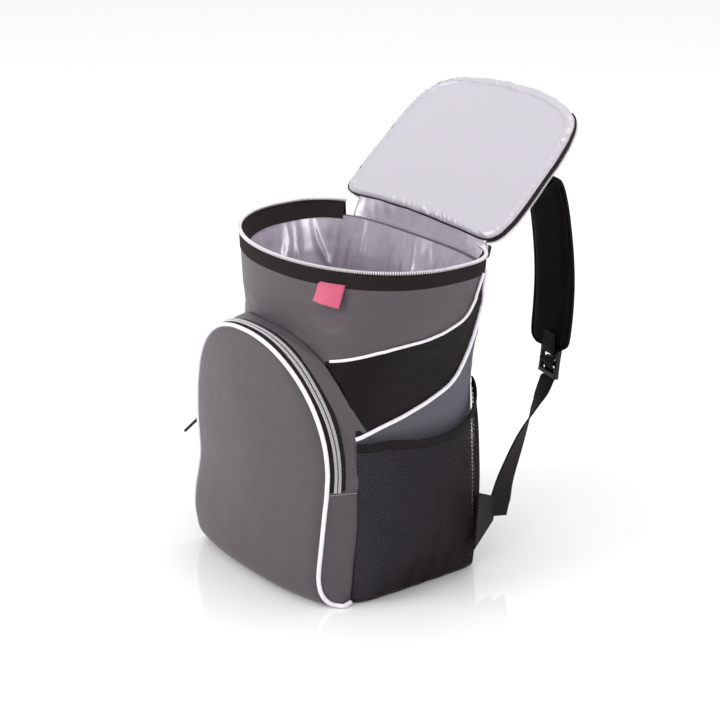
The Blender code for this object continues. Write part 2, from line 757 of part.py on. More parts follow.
def build_straps(parts, cutters):
    wall = RIM_BACK * STRAP_SEAT + SEAM_GAP + PAD_END_THICKNESS / 2
    tab_x = body_plan(TAB_TURN, TAB_HEIGHT + TAB_ROOT / 2, SEAM_GAP * 2).x
    for side, hand in ((1, "right"), (-1, "left")):
        stations = smooth_route(PAD_ROUTE, 24)
        points = []
        for across, reach, height, _ in stations:
            x = STRAP_SPACING_TOP + (STRAP_SPACING_LOW - STRAP_SPACING_TOP) * across
            start_reach = PAD_ROUTE[0][1]
            points.append(Vector((x, wall + STRAP_REACH * (reach - start_reach), BODY_HEIGHT * height)))
        frames = strip_frames(points, [0] * len(points))
        rings = []
        for index, (point, wide, face) in enumerate(frames):
            half = PAD_WIDTH * stations[index][3] / 2
            body_share = min(index / 5, (len(frames) - 1 - index) / 2, 1.0)
            thick = (PAD_END_THICKNESS + (PAD_THICKNESS - PAD_END_THICKNESS) * body_share) / 2
            rings.append([mirrored(point + wide * half * a + face * thick * b, side)
                          for a, b in PAD_SECTION])
        loft(f"shoulder_pad_{hand}", rings, parts, BLACK_NYLON)

        end, wide, face = frames[-1]
        along = wide.cross(face)
        along = along if along.z < 0 else -along
        build_lock(f"ladder_lock_{hand}", end, wide, along, side, parts, cutters)

        stations = smooth_route(WEB_ROUTE, 26)
        start = end + along * (SEAM_GAP * 7 + LOCK_LENGTH)
        points, turns = [], []
        tab_face = tab_x + TAB_THICKNESS + SEAM_GAP + WEB_THICKNESS / 2
        for across, reach, height, turn in stations:
            x = STRAP_SPACING_LOW + (tab_face - STRAP_SPACING_LOW) * across
            points.append(Vector((x, wall + STRAP_REACH * reach, BODY_HEIGHT * height)))
            turns.append(turn)
        shift = start + along * SEAM_GAP - points[0]
        for index, point in enumerate(points):
            point += shift * max(0.0, 1 - index / 6)
        rings = []
        for point, wide, face in strip_frames(points, turns):
            rings.append([mirrored(point + wide * WEB_WIDTH / 2 * a + face * WEB_THICKNESS / 2 * b, side)
                          for a, b in ((-1, -1), (0, -1), (1, -1), (1, 1), (0, 1), (-1, 1))])
        loft(f"strap_web_{hand}", rings, parts, BLACK_WEBBING)

        def tab(u, v, depth):
            root = body_plan(TAB_TURN, TAB_HEIGHT + TAB_ROOT * (v - 0.5), SEAM_GAP * 2)
            tip = Vector((tab_x, root.y + TAB_REACH, TAB_HEIGHT - 0.006 + TAB_TIP * (v - 0.5)))
            point = root.lerp(tip, u)
            return mirrored(point + Vector((TAB_THICKNESS * depth, 0, 0)), side)

        slab(f"strap_tab_{hand}", 3, 2, tab, parts, BLACK_WEBBING)


def build_lock(name, end, wide, along, side, parts, cutters):
    """A ladder lock: a moulded plate with two slots, hung from the end of the pad."""
    face = wide.cross(along)
    centre = end + along * (LOCK_LENGTH / 2 + SEAM_GAP)
    matrix = Matrix((wide, along, face)).transposed().to_4x4()
    matrix.translation = centre
    matrix = Matrix.Diagonal((side, 1, 1, 1)) @ matrix
    plate = bmesh.new()
    bmesh.ops.create_cube(plate, size=1.0)
    bmesh.ops.scale(plate, vec=(LOCK_WIDTH, LOCK_LENGTH, LOCK_THICKNESS), verts=plate.verts)
    bmesh.ops.bevel(plate, geom=plate.edges[:], offset=LOCK_THICKNESS * 0.25, segments=1,
                    affect="EDGES", profile=0.5, material=-1)
    bmesh.ops.transform(plate, matrix=matrix, verts=plate.verts)
    lock = add_mesh(name, plate, parts, BLACK_PLASTIC)
    slot = (LOCK_LENGTH - 3 * LOCK_BAR) / 2
    for sign in (-1, 1):
        bmesh_slot = bmesh.new()
        bmesh.ops.create_cube(bmesh_slot, size=1.0)
        size = (LOCK_WIDTH - 2 * LOCK_BAR, slot, LOCK_THICKNESS * 2)
        bmesh.ops.scale(bmesh_slot, vec=size, verts=bmesh_slot.verts)
        shift = Vector((0, sign * (slot + LOCK_BAR) / 2, 0))
        bmesh.ops.translate(bmesh_slot, vec=shift, verts=bmesh_slot.verts)
        bmesh.ops.transform(bmesh_slot, matrix=matrix, verts=bmesh_slot.verts)
        cutter = add_mesh(f"{name}_slot_{'low' if sign > 0 else 'high'}", bmesh_slot, cutters,
                          BLACK_PLASTIC)
        cutter.hide_render = True
        cutter.display_type = "WIRE"
        cut = lock.modifiers.new("slot", "BOOLEAN")
        cut.operation = "DIFFERENCE"
        cut.object = cutter
        cut.solver = "EXACT"


def build_all():
    clear_scene()
    parts, cutters = make_collections()
    build_body(parts)
    build_rim(parts)
    build_sides(parts)
    build_net_pockets(parts)
    build_pocket(parts)
    build_lid(parts)
    build_label(parts)
    build_straps(parts, cutters)


build_all()
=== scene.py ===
"""A cooler backpack in grey nylon with its insulated lid open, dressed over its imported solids."""
import math

import bmesh
import bpy
import numpy as np
from mathutils import Matrix, Vector, noise


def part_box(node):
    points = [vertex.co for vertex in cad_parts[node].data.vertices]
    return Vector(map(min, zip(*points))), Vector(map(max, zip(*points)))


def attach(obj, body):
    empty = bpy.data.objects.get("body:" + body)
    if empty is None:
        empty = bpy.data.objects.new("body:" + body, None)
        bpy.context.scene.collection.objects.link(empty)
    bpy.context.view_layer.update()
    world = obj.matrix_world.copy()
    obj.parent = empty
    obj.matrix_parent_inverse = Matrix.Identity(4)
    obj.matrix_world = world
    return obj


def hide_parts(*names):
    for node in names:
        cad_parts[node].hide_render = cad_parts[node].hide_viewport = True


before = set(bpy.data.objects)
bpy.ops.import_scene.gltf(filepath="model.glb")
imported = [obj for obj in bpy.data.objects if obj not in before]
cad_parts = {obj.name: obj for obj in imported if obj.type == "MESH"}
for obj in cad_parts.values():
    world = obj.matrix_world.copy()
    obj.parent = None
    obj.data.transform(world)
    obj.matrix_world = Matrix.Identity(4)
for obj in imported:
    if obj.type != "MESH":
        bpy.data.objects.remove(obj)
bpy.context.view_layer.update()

# The camera: where the photographer stood, in front of the bag's right side and a little above
# its rim, with a long lens. The studio round it is a pale board with a faint gloss, in a white
# room, under three large soft lamps.
CAMERA_PLACE = Vector((1.4230, -1.0619, 0.8273))
CAMERA_TARGET = Vector((-0.0393, 0.0481, 0.1700))
CAMERA_LENS = 100.95

camera = bpy.data.objects.new("camera", bpy.data.cameras.new("camera"))
camera.location = CAMERA_PLACE
camera.rotation_euler = (CAMERA_TARGET - CAMERA_PLACE).to_track_quat("-Z", "Y").to_euler()
camera.data.lens = CAMERA_LENS
camera.data.sensor_width = 36.0
camera.data.clip_start = 0.05
bpy.context.scene.collection.objects.link(camera)
bpy.context.scene.camera = camera


def linear(shade):
    """An sRGB hex colour as linear RGBA."""
    parts = [int(shade[start:start + 2], 16) / 255 for start in (1, 3, 5)]
    return [p / 12.92 if p <= 0.04045 else ((p + 0.055) / 1.055) ** 2.4 for p in parts] + [1.0]


def add_node(material, kind, feeds=None, **settings):
    """Add a node to a material, with its settings, and set or link each input that feeds names."""
    node = material.node_tree.nodes.new(kind)
    for key, value in settings.items():
        setattr(node, key, value)
    for key, value in (feeds or {}).items():
        if isinstance(value, bpy.types.NodeSocket):
            material.node_tree.links.new(value, node.inputs[key])
        else:
            node.inputs[key].default_value = value
    return node


def start_finish(name, shade, roughness, **sockets):
    """A material with its shader set; sockets are named in the shader's words, _ for a space."""
    material = bpy.data.materials.new(name)
    material.use_nodes = True
    shader = material.node_tree.nodes["Principled BSDF"]
    shader.inputs["Base Color"].default_value = linear(shade)
    shader.inputs["Roughness"].default_value = roughness
    for key, value in sockets.items():
        shader.inputs[key.replace("_", " ")].default_value = value
    return material, shader


def feed(material, socket, shader, name):
    material.node_tree.links.new(socket, shader.inputs[name])


def object_place(material):
    """The place on a piece, in metres, for a pattern that runs through it."""
    return add_node(material, "ShaderNodeTexCoord").outputs["Object"]


def speckle(material, place, scale, detail=2.0, **feeds):
    """Soft blotches from 0 to 1, with about scale of them to the metre."""
    feeds.update(Vector=place, Scale=scale, Detail=detail)
    return add_node(material, "ShaderNodeTexNoise", feeds).outputs["Fac"]


def stretched(material, pattern, low, high, start=0.0, end=1.0):
    """A pattern's run from start to end, stretched to run from low to high."""
    feeds = {"Value": pattern, "From Min": start, "From Max": end, "To Min": low, "To Max": high}
    return add_node(material, "ShaderNodeMapRange", feeds).outputs["Result"]


# Painted board with a satin varnish: it keeps a weak, blurred mirror image of the bag.
FLOOR_SIZE = 6.0
board, shader = start_finish("satin_varnished_board", "#EFEFF0", 0.06, Specular_IOR_Level=0.6)
grain = speckle(board, object_place(board), 3.0)
feed(board, stretched(board, grain, 0.04, 0.07), shader, "Roughness")
ground = bmesh.new()
bmesh.ops.create_grid(ground, x_segments=1, y_segments=1, size=FLOOR_SIZE)
floor_mesh = bpy.data.meshes.new("studio_floor")
ground.to_mesh(floor_mesh)
ground.free()
floor_mesh.materials.append(board)
studio_floor = bpy.data.objects.new("studio_floor", floor_mesh)
bpy.context.scene.collection.objects.link(studio_floor)

room = bpy.data.worlds.new("white_room")
room.use_nodes = True
daylight = room.node_tree.nodes["Background"]
daylight.inputs["Color"].default_value = linear("#FFFFFF")
daylight.inputs["Strength"].default_value = 1.0
bpy.context.scene.world = room
bpy.context.scene.view_settings.view_transform = "Standard"
LAMP_TARGET = Vector((0, 0, 0.15))
for name, place, size, power in (("key_lamp", (-0.7, -2.0, 1.5), 1.2, 30),
                                 ("side_lamp", (2.3, 0.6, 1.2), 1.0, 10),
                                 ("top_lamp", (0.1, 0.7, 2.4), 1.2, 14)):
    lamp = bpy.data.lights.new(name, "AREA")
    lamp.energy = power
    lamp.size = size
    holder = bpy.data.objects.new(name, lamp)
    holder.location = place
    holder.rotation_euler = (LAMP_TARGET - Vector(place)).to_track_quat("-Z", "Y").to_euler()
    bpy.context.scene.collection.objects.link(holder)

# The bag's outer fabric: woven nylon over thin foam, cut in one tube and sewn to a base panel. Its
# sections are boxy at the base and round out to a D at the rim.
BAG_HEIGHT = 0.297
BAG_MIDDLE_Y = 0.020
RIM_HALF_WIDTH, RIM_FRONT, RIM_BACK = 0.134, 0.082, 0.092
WALL_DEPTH = 0.0062
BASE_FOLD = 0.004
# Columns: share of the height, then the half width, front and back as shares of the rim's, and how
# square the plan is in front and behind.
BAG_SECTIONS = (
    (0.000, 0.790, 0.854, 0.870, 12.0, 8.0),
    (0.135, 0.815, 0.927, 0.902, 12.0, 6.0),
    (0.320, 0.835, 0.976, 0.913, 12.0, 5.0),
    (0.471, 0.840, 0.988, 0.924, 11.0, 4.2),
    (0.623, 0.840, 1.000, 0.924, 7.0, 3.7),
    (0.724, 0.860, 1.000, 0.935, 4.8, 3.8),
    (0.815, 0.892, 1.000, 0.957, 3.5, 4.2),
    (0.892, 0.937, 1.000, 0.978, 2.7, 3.8),
    (0.966, 0.959, 1.000, 0.989, 2.3, 3.4),
    (1.040, 1.000, 1.000, 1.000, 2.05, 3.2),
)
LEVEL_START, LEVEL_END, LEVEL_STEP = -0.05, 1.10, 0.005
BLUR_STEPS = 17


def blur_weights(steps):
    """Weights that blur a row of numbers over so many steps."""
    return np.hanning(steps) / np.hanning(steps).sum()


levels = np.arange(LEVEL_START, LEVEL_END, LEVEL_STEP)
sections = np.array(BAG_SECTIONS)
smoothed = [np.convolve(np.pad(np.interp(levels, sections[:, 0], sections[:, k]),
                               BLUR_STEPS // 2, mode="edge"), blur_weights(BLUR_STEPS), "valid")
            for k in range(1, 6)]
section_rows = np.array(smoothed).T.tolist()
# The empty bag's front left corner hangs slacker over the pocket, so its plan is rounder there:
# where that starts, how much higher it is complete, and how square the corner still is.
SLACK_FROM, SLACK_RUN, SLACK_SQUARE = 0.196, 0.028, 2.0


def clamp(value):
    """The value, kept between 0 and 1."""
    return min(1.0, max(0.0, value))


def bag_wall(turn, height, stand_off=0.0):
    """A point of the bag's wall, turned in degrees from the right side towards the back."""
    place = (height / BAG_HEIGHT - LEVEL_START) / LEVEL_STEP
    index = max(0, min(int(place), len(section_rows) - 2))
    part = place - index
    side, front, back, square_front, square_back = (
        low + (high - low) * part
        for low, high in zip(section_rows[index], section_rows[index + 1]))
    slack = clamp((height - SLACK_FROM) / SLACK_RUN)
    slack_square = square_front + (min(square_front, SLACK_SQUARE) - square_front) * slack

    def on_curve(angle):
        across, along = math.cos(angle), math.sin(angle)
        depth = RIM_BACK * back - BAG_MIDDLE_Y if along >= 0 else RIM_FRONT * front + BAG_MIDDLE_Y
        square = square_back if along >= 0 else square_front if across >= 0 else slack_square
        radius = (abs(across / (RIM_HALF_WIDTH * side)) ** square
                  + abs(along / depth) ** square) ** (-1 / square)
        return Vector((radius * across, BAG_MIDDLE_Y + radius * along, height))

    angle = math.radians(turn)
    point = on_curve(angle)
    if stand_off:
        edge = on_curve(angle + 0.01) - on_curve(angle - 0.01)
        point += Vector((edge.y, -edge.x, 0)).normalized() * stand_off
    return point


def ripple(point, wave, seed=0.0):
    """Smooth seeded unevenness from -1 to 1, with the given wavelength in metres."""
    return noise.noise(Vector(point) / wave + Vector((seed, 2 * seed, 5.3)))


def bag_skin(turn, height, stand_off=0.0):
    """The wall with the slack of its fabric: broad waves, and shallow creases in its upper half."""
    point = bag_wall(turn, height)
    fade = clamp((BAG_HEIGHT - height) / 0.02) * clamp(height / 0.03)
    slack = 0.0009 * ripple(point, 0.055, 1.0)
    high = clamp((height - 0.15) / 0.08)
    slanted = Vector((point.x * 0.4 + point.z * 0.9, point.y * 0.4 - point.x * 0.1, point.z * 2.2))
    crease = ripple(slanted, 0.034, 4.0)
    slack += high * 0.0011 * (1 - min(1.0, abs(crease) * 5.0)) * (0.5 + ripple(point, 0.05, 9.0))
    return bag_wall(turn, height, stand_off + slack * fade)


def make_piece(name, shape, finish, smooth=True):
    """Turn a bmesh into a piece of the bag."""
    mesh = bpy.data.meshes.new(name)
    shape.to_mesh(mesh)
    shape.free()
    mesh.materials.append(finish)
    mesh.polygons.foreach_set("use_smooth", [smooth] * len(mesh.polygons))
    piece = bpy.data.objects.new(name, mesh)
    bpy.context.scene.collection.objects.link(piece)
    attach(piece, "root")
    return piece


def cut_cloth(across, along, place, size, inside=False):
    """A grid of cloth whose points place(u, v) puts, with a UV map of the flat cloth in metres."""
    cloth = bmesh.new()
    threads = cloth.loops.layers.uv.new("UVMap")
    bmesh.ops.create_grid(cloth, x_segments=across, y_segments=along, size=0.5)
    for face in cloth.faces:
        for corner in face.loops:
            spot = corner.vert.co
            corner[threads].uv = ((spot.x + 0.5) * size[0], (spot.y + 0.5) * size[1])
    for vertex in cloth.verts:
        vertex.co = place(vertex.co.x + 0.5, vertex.co.y + 0.5)
    bmesh.ops.remove_doubles(cloth, verts=cloth.verts, dist=1e-6)
    if inside:
        bmesh.ops.reverse_faces(cloth, faces=cloth.faces)
    return cloth


def thicken(piece, thickness, out=1.0):
    """Give a sheet its thickness, outwards of its faces with out=1 and inwards with -1."""
    wall = piece.modifiers.new("thickness", "SOLIDIFY")
    wall.thickness = thickness
    wall.offset = out


def cloth_place(material):
    """The place on a piece's flat cloth, in metres, for a pattern that follows its threads."""
    return add_node(material, "ShaderNodeUVMap", uv_map="UVMap").outputs["UV"]


def lines(material, place, period, direction, **feeds):
    """Parallel soft lines from 0 to 1, a period apart in metres."""
    # A wave's period is 0.314 over its scale.
    feeds.update(Vector=place, Scale=0.314 / period)
    wave = add_node(material, "ShaderNodeTexWave", feeds, bands_direction=direction)
    return wave.outputs["Fac"]


def reckon(material, operation, *terms):
    """The result of one sum on patterns and numbers."""
    sum_node = add_node(material, "ShaderNodeMath", dict(enumerate(terms)), operation=operation)
    return sum_node.outputs[0]


def tint(material, shader, pattern, dark, light):
    """Colour a finish from dark to light by a pattern."""
    # The two colour inputs of a Mix node are its seventh and eighth, the colour its third output.
    mix = add_node(material, "ShaderNodeMix", {"Factor": pattern, 6: linear(dark),
                                               7: linear(light)}, data_type="RGBA")
    feed(material, mix.outputs[2], shader, "Base Color")


def emboss(material, shader, *reliefs):
    """Raise a finish by one pattern on another, each with its strength and depth in metres."""
    below = {}
    for pattern, strength, depth in reliefs:
        bump = add_node(material, "ShaderNodeBump",
                        {"Height": pattern, "Strength": strength, "Distance": depth, **below})
        below = {"Normal": bump.outputs["Normal"]}
    feed(material, bump.outputs["Normal"], shader, "Normal")


# Plain-woven nylon, dyed, with a calendered back: a soft satin with a faint violet sheen, fine
# slanting yarn lines, and slight differences of shade. Yarns are 0.45 mm apart in the real cloth;
# they are drawn 1.3 mm apart, which is what the picture can show.
YARN_DRAWN = 0.0013
YARN_SLANT = math.radians(24)
NYLON_ROUGHNESS = 0.46


def start_nylon(name, shade, sheen_tint, sheen, gloss, roughness=NYLON_ROUGHNESS):
    return start_finish(name, shade, roughness, Sheen_Weight=sheen, Sheen_Roughness=0.4,
                        Sheen_Tint=linear(sheen_tint), Specular_IOR_Level=gloss)


def woven_nylon(name, shade, dark, sheen_tint, sheen, gloss):
    material, shader = start_nylon(name, shade, sheen_tint, sheen, gloss)
    cloth = cloth_place(material)
    slanted = add_node(material, "ShaderNodeMapping",
                       {"Vector": cloth, "Rotation": (0, 0, YARN_SLANT)}).outputs["Vector"]
    warp = lines(material, slanted, YARN_DRAWN, "Y", Distortion=0.25, Detail=1.0,
                 **{"Detail Scale": 2.0})
    weft = lines(material, slanted, YARN_DRAWN * 1.6, "X")
    weave = reckon(material, "MULTIPLY", warp, weft)
    cloud = speckle(material, cloth, 55.0, 4.0, Roughness=0.6)
    uneven = stretched(material, cloud, 0.1, 0.75, 0.3, 0.7)
    tint(material, shader, reckon(material, "MULTIPLY_ADD", uneven, weave, 0.12), dark, shade)
    crumple = speckle(material, cloth, 38.0, 2.0, Distortion=0.5)
    emboss(material, shader, (weave, 0.45, 0.0003), (crumple, 0.4, 0.0022))
    return material


grey_nylon = woven_nylon("woven_nylon_grey", "#5D555B", "#474045", "#B9A6BF", 0.14, 0.45)

# The bag's way round, and the way up its wall from the fold at its base and over its top.
BAG_ROUND = 0.78
BASE_LIFT = 0.003
profile_length = BASE_FOLD + BAG_HEIGHT + WALL_DEPTH


def bag_profile(u, v):
    """Up the wall from the fold at the base, and over the top of the wall to the lining."""
    way = v * profile_length
    turn = 360 * u
    if way < BASE_FOLD:
        bend = way / BASE_FOLD * math.pi / 2
        return bag_wall(turn, BASE_LIFT * (1 - math.cos(bend)), -BASE_LIFT * (1 - math.sin(bend)))
    if way < BASE_FOLD + BAG_HEIGHT - BASE_LIFT:
        return bag_skin(turn, way - BASE_FOLD + BASE_LIFT)
    inwards = min(WALL_DEPTH, way - BASE_FOLD - BAG_HEIGHT + BASE_LIFT)
    return bag_wall(turn, BAG_HEIGHT, -inwards)


cloth = cut_cloth(320, 124, bag_profile, (BAG_ROUND, profile_length))
base_edge = [edge for edge in cloth.edges if edge.is_boundary and edge.verts[0].co.z < 0.001]
bmesh.ops.edgeloop_fill(cloth, edges=base_edge)
bag = make_piece("bag_fabric", cloth, grey_nylon)
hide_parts("body_shell")

# The side panels: a black swoosh of the same nylon, and a blue-grey panel below it, both sewn into
# the wall with white piping in the seams. The left side mirrors the right side's seams.
UPPER_SEAM = ((-52, 0.2290), (-46, 0.2320), (-30.7, 0.2400), (-20, 0.2430), (-7.6, 0.2450),
              (2.2, 0.2500), (8.8, 0.2570), (12, 0.2660), (14.2, 0.2760), (16.0, 0.2860),
              (17.4, 0.2965))
LOWER_SEAM = ((-48, 0.1600), (-39.5, 0.1635), (-30.6, 0.1700), (-18.3, 0.1760), (-3.9, 0.1850),
              (7.0, 0.1960), (13.6, 0.2130), (17.6, 0.2340), (19.1, 0.2570), (19.9, 0.2740),
              (20.4, 0.2965))
PANEL_PROUD = 0.0006
UPPER_PIPING, LOWER_PIPING = 0.0028, 0.0038
black_nylon = woven_nylon("woven_nylon_black", "#1A1116", "#0F090C", "#54444F", 0.04, 0.14)
blue_grey_nylon = woven_nylon("woven_nylon_blue_grey", "#605F68", "#4C4B54", "#AEB0C4", 0.14, 0.4)
# Piping cord in glossy coated cloth: smooth, white and faintly uneven where it was sewn in.
piping_cloth, shader = start_finish("coated_piping_cloth", "#F1EDF1", 0.34, Coat_Weight=0.2)
dimple = speckle(piping_cloth, object_place(piping_cloth), 320.0)
emboss(piping_cloth, shader, (dimple, 0.35, 0.0005))
# Painted highlight and shade: whiter on the dimples' tops, greyer in their hollows.
tint(piping_cloth, shader, dimple, "#DAD4DB", "#FFFBFF")


def smooth_line(rows, count):
    """Points at even steps of a smooth line through the rows."""
    table = np.array(rows, dtype=float)
    ends = np.vstack([2 * table[0] - table[1], table, 2 * table[-1] - table[-2]])
    places = np.linspace(0, len(table) - 1, count)
    index = np.minimum(places.astype(int), len(table) - 2)
    t = (places - index)[:, None]
    a, b, c, d = (ends[index + k] for k in range(4))
    return 0.5 * (2 * b + (c - a) * t + (2 * a - 5 * b + 4 * c - d) * t ** 2
                  + (3 * b - a - 3 * c + d) * t ** 3)


def spaced(points, step):
    """The same line with its points a step apart."""
    line = np.array([tuple(point) for point in points])
    way = np.concatenate([[0.0], np.cumsum(np.linalg.norm(np.diff(line, axis=0), axis=1))])
    stops = np.linspace(0, way[-1], max(1, round(way[-1] / step)) + 1)
    columns = [np.interp(stops, way, line[:, k]) for k in range(3)]
    return [Vector(row) for row in np.stack(columns, 1)]


def round_cord(name, points, thickness, finish, swelling=None):
    """A round piping or cord along its points; swelling(share) widens it on the way."""
    curve = bpy.data.curves.new(name, "CURVE")
    curve.dimensions = "3D"
    curve.bevel_depth = thickness / 2
    curve.bevel_resolution = 3
    curve.use_fill_caps = True
    line = curve.splines.new("POLY")
    line.points.add(len(points) - 1)
    for index, point in enumerate(points):
        line.points[index].co = (*point, 1.0)
        if swelling:
            line.points[index].radius = swelling(index / (len(points) - 1))
    holder = bpy.data.objects.new(name, curve)
    mesh = bpy.data.meshes.new_from_object(holder)
    shape = bmesh.new()
    shape.from_mesh(mesh)
    bpy.data.objects.remove(holder)
    bpy.data.meshes.remove(mesh)
    bpy.data.curves.remove(curve)
    bmesh.ops.remove_doubles(shape, verts=shape.verts, dist=1e-6)
    bmesh.ops.recalc_face_normals(shape, faces=shape.faces)
    return make_piece(name, shape, finish)


SIDES = ((1, "right"), (-1, "left"))


def other_side(point, side):
    """The point itself on the right side, and its mirror image on the left."""
    return Vector((point[0] * side, point[1], point[2]))


SEAM_STEPS = 100
upper_seam = smooth_line(UPPER_SEAM, SEAM_STEPS + 1)
lower_seam = smooth_line(LOWER_SEAM, SEAM_STEPS + 1)


def on_side(turn, height, stand_off, side):
    """A point of the wall's skin, at a turn counted towards the back on either side."""
    return bag_skin(turn if side > 0 else 180 - turn, height, stand_off)


def seam_at(seam, share):
    """The turn and height of a seam at a share of its way."""
    place = share * SEAM_STEPS
    index = min(int(place), SEAM_STEPS - 1)
    return seam[index] + (seam[index + 1] - seam[index]) * (place - index)


def between_seams(u, v, side):
    low, high = seam_at(lower_seam, u), seam_at(upper_seam, u)
    turn, height = low + (high - low) * v
    return on_side(turn, height, PANEL_PROUD, side)


def under_seam(u, v, side):
    turn, top = seam_at(lower_seam, u)
    return on_side(turn, PANEL_FOOT + (top - PANEL_FOOT) * v, PANEL_PROUD, side)


PANEL_FOOT = 0.004
for side, hand in SIDES:
    for label, place, finish, slot, node, tall in (
            ("swoosh", between_seams, black_nylon, "black_nylon", "side_panel_black", 0.075),
            ("lower_side", under_seam, blue_grey_nylon, "blue_grey_nylon", "side_panel_lower",
             0.18)):
        cloth = cut_cloth(90, 40, lambda u, v: place(u, v, side), (0.19, tall), inside=side < 0)
        panel = make_piece(f"{label}_{hand}", cloth, finish)
        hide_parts(f"{node}_{hand}")
    for seam, label, width, start in ((upper_seam, "upper", UPPER_PIPING, -50.0),
                                      (lower_seam, "lower", LOWER_PIPING, -40.2)):
        route = spaced([on_side(turn, height, PANEL_PROUD + width * 0.3, side)
                        for turn, height in seam if turn > start], 0.002)
        piping = round_cord(f"side_piping_{label}_{hand}", route, width, piping_cloth)
        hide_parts(f"swoosh_piping_{label}_{hand}")

# The lining: a tube and base of silvery foiled film behind the foam, gathered a little into the
# rim seam, so it hangs in soft upright pleats.
LINING_DEPTH = 0.0066
LINING_FLOOR = 0.0072
# Foiled film: a pale lilac plastic skin with a thin metal coat, satin, wrinkled in small facets.
foil_film, shader = start_finish("foiled_lining_film", "#C4BDC8", 0.27, Metallic=0.45,
                                 Specular_IOR_Level=0.6)
film_place = object_place(foil_film)
facets = add_node(foil_film, "ShaderNodeTexVoronoi", {"Vector": film_place, "Scale": 95.0},
                  feature="SMOOTH_F1").outputs["Distance"]
wrinkles = speckle(foil_film, film_place, 60.0, 5.0, Roughness=0.6, Distortion=1.2)
emboss(foil_film, shader, (reckon(foil_film, "ADD", facets, wrinkles), 0.12, 0.0016))
# Painted shade and highlight: darker in the wrinkles' hollows and lighter on their crests.
tint(foil_film, shader, wrinkles, "#ABA2B0", "#C9C2CD")
# The share of the cloth that makes the lining's base, from its middle out to the wall.
LINING_BASE = 0.2


def lining_point(u, v):
    """Out over the lining's base, then up its wall in pleats that fade towards the rim."""
    turn = 360 * u
    if v < LINING_BASE:
        foot = bag_wall(turn, LINING_FLOOR, -LINING_DEPTH)
        middle = Vector((0, BAG_MIDDLE_Y - 0.01, LINING_FLOOR))
        point = middle.lerp(foot, v / LINING_BASE)
        point.z += 0.0008 * (1 + ripple(point, 0.03, 3.0))
        return point
    height = LINING_FLOOR + (BAG_HEIGHT - LINING_FLOOR) * (v - LINING_BASE) / (1 - LINING_BASE)
    wall = bag_wall(turn, height, -LINING_DEPTH)
    down = (BAG_HEIGHT - height) / BAG_HEIGHT
    spot = Vector((wall.x, wall.y, wall.z * 0.16))
    spot += Vector((down * 0.012, down * -0.006, 0))
    wide = ripple(spot, 0.030, 11.0)
    fold = 1 - min(1.0, abs(ripple(spot, 0.017, 14.0)) * 3.2)
    pleat = max(0.0, 0.0042 + 0.0060 * wide + 0.0034 * fold * fold)
    pleat *= min(1.0, down * 9) * (1.0 - 0.5 * down)
    return bag_wall(turn, height, -LINING_DEPTH - pleat)


cloth = cut_cloth(420, 90, lining_point, (BAG_ROUND, 0.36), inside=True)
lining = make_piece("foil_lining", cloth, foil_film)
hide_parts("lining")

# The rim: black woven zip tape folded over the wall's top edge, 12 mm high inside and out, with
# one half of a coil zip standing along it from the hinge's left end round to its right end.
RIM_START, RIM_END = -210.0, 30.0
TAPE_HEIGHT = 0.0124
# Woven zip tape: matt black herringbone polyester, with a painted brown highlight on its ribs.
zip_tape, shader = start_finish("woven_zip_tape", "#1B1516", 0.82, Specular_IOR_Level=0.2)
ribs = lines(zip_tape, cloth_place(zip_tape), 0.0014, "DIAGONAL", Distortion=1.0, Detail=1.0)
emboss(zip_tape, shader, (ribs, 0.5, 0.0004))
# Painted highlight: the raised ribs are coloured lighter and browner than the hollows.
tint(zip_tape, shader, ribs, "#120D0E", "#251D1E")
# Zinc-coloured zip parts: cast, tumbled smooth and dulled by use.
zip_zinc, shader = start_finish("cast_zinc_zip_parts", "#D2CFD3", 0.34, Metallic=0.65)
scuffs = speckle(zip_zinc, object_place(zip_zinc), 900.0)
feed(zip_zinc, stretched(zip_zinc, scuffs, 0.28, 0.52), shader, "Roughness")

# The tape's fold over the wall's edge: how far it stands off the wall, and how far up it is.
RIM_FOLD = ((0.0003, -0.002), (0.0, 0.004), (-0.0003, 0.0112), (-0.0006, TAPE_HEIGHT),
            (-0.0016, TAPE_HEIGHT), (-0.0022, 0.0105), (-0.0056, 0.003), (-0.0084, -0.003))
FOLD_STEPS = 28
rim_fold = smooth_line(RIM_FOLD, FOLD_STEPS + 1)


def rim_point(u, v):
    turn = RIM_START + (RIM_END - RIM_START) * u
    stand_off, up = rim_fold[round(v * FOLD_STEPS)]
    wave = 0.0004 * ripple(bag_wall(turn, BAG_HEIGHT), 0.03, 6.0)
    return bag_wall(turn, BAG_HEIGHT + up, stand_off + wave)


cloth = cut_cloth(300, FOLD_STEPS, rim_point, (0.5, 0.03))
rim_tape = make_piece("rim_zip_tape", cloth, zip_tape)
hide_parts("rim_tape")


def place_at(point, along, up):
    """Where a small part sits: its X along the row, its Z up."""
    along = along.normalized()
    side = up.cross(along).normalized()
    turned = Matrix((along, side, along.cross(side))).transposed().to_4x4()
    return Matrix.Translation(point) @ turned


def repeated(part, places):
    """Copies of one part, one at each place, in one bmesh."""
    seed = bpy.data.meshes.new("seed")
    part.to_mesh(seed)
    part.free()
    row = bmesh.new()
    for place in places:
        before = len(row.verts)
        row.from_mesh(seed)
        row.verts.ensure_lookup_table()
        bmesh.ops.transform(row, matrix=place, verts=row.verts[before:])
    bpy.data.meshes.remove(seed)
    return row


def plant(name, part, places, finish, smooth=True):
    """Repeat one small part at each of its places, as one piece."""
    return make_piece(name, repeated(part, places), finish, smooth)


def small_block(size, soft):
    """A block with its edges bevelled by soft."""
    block = bmesh.new()
    bmesh.ops.create_cube(block, size=1.0)
    bmesh.ops.scale(block, vec=size, verts=block.verts)
    bmesh.ops.bevel(block, geom=block.edges[:], offset=soft, segments=1, affect="EDGES",
                    profile=0.5, material=-1)
    return block


def facing(points, index):
    """The way a line of points runs at one of them."""
    return points[min(index + 1, len(points) - 1)] - points[max(index - 1, 0)]


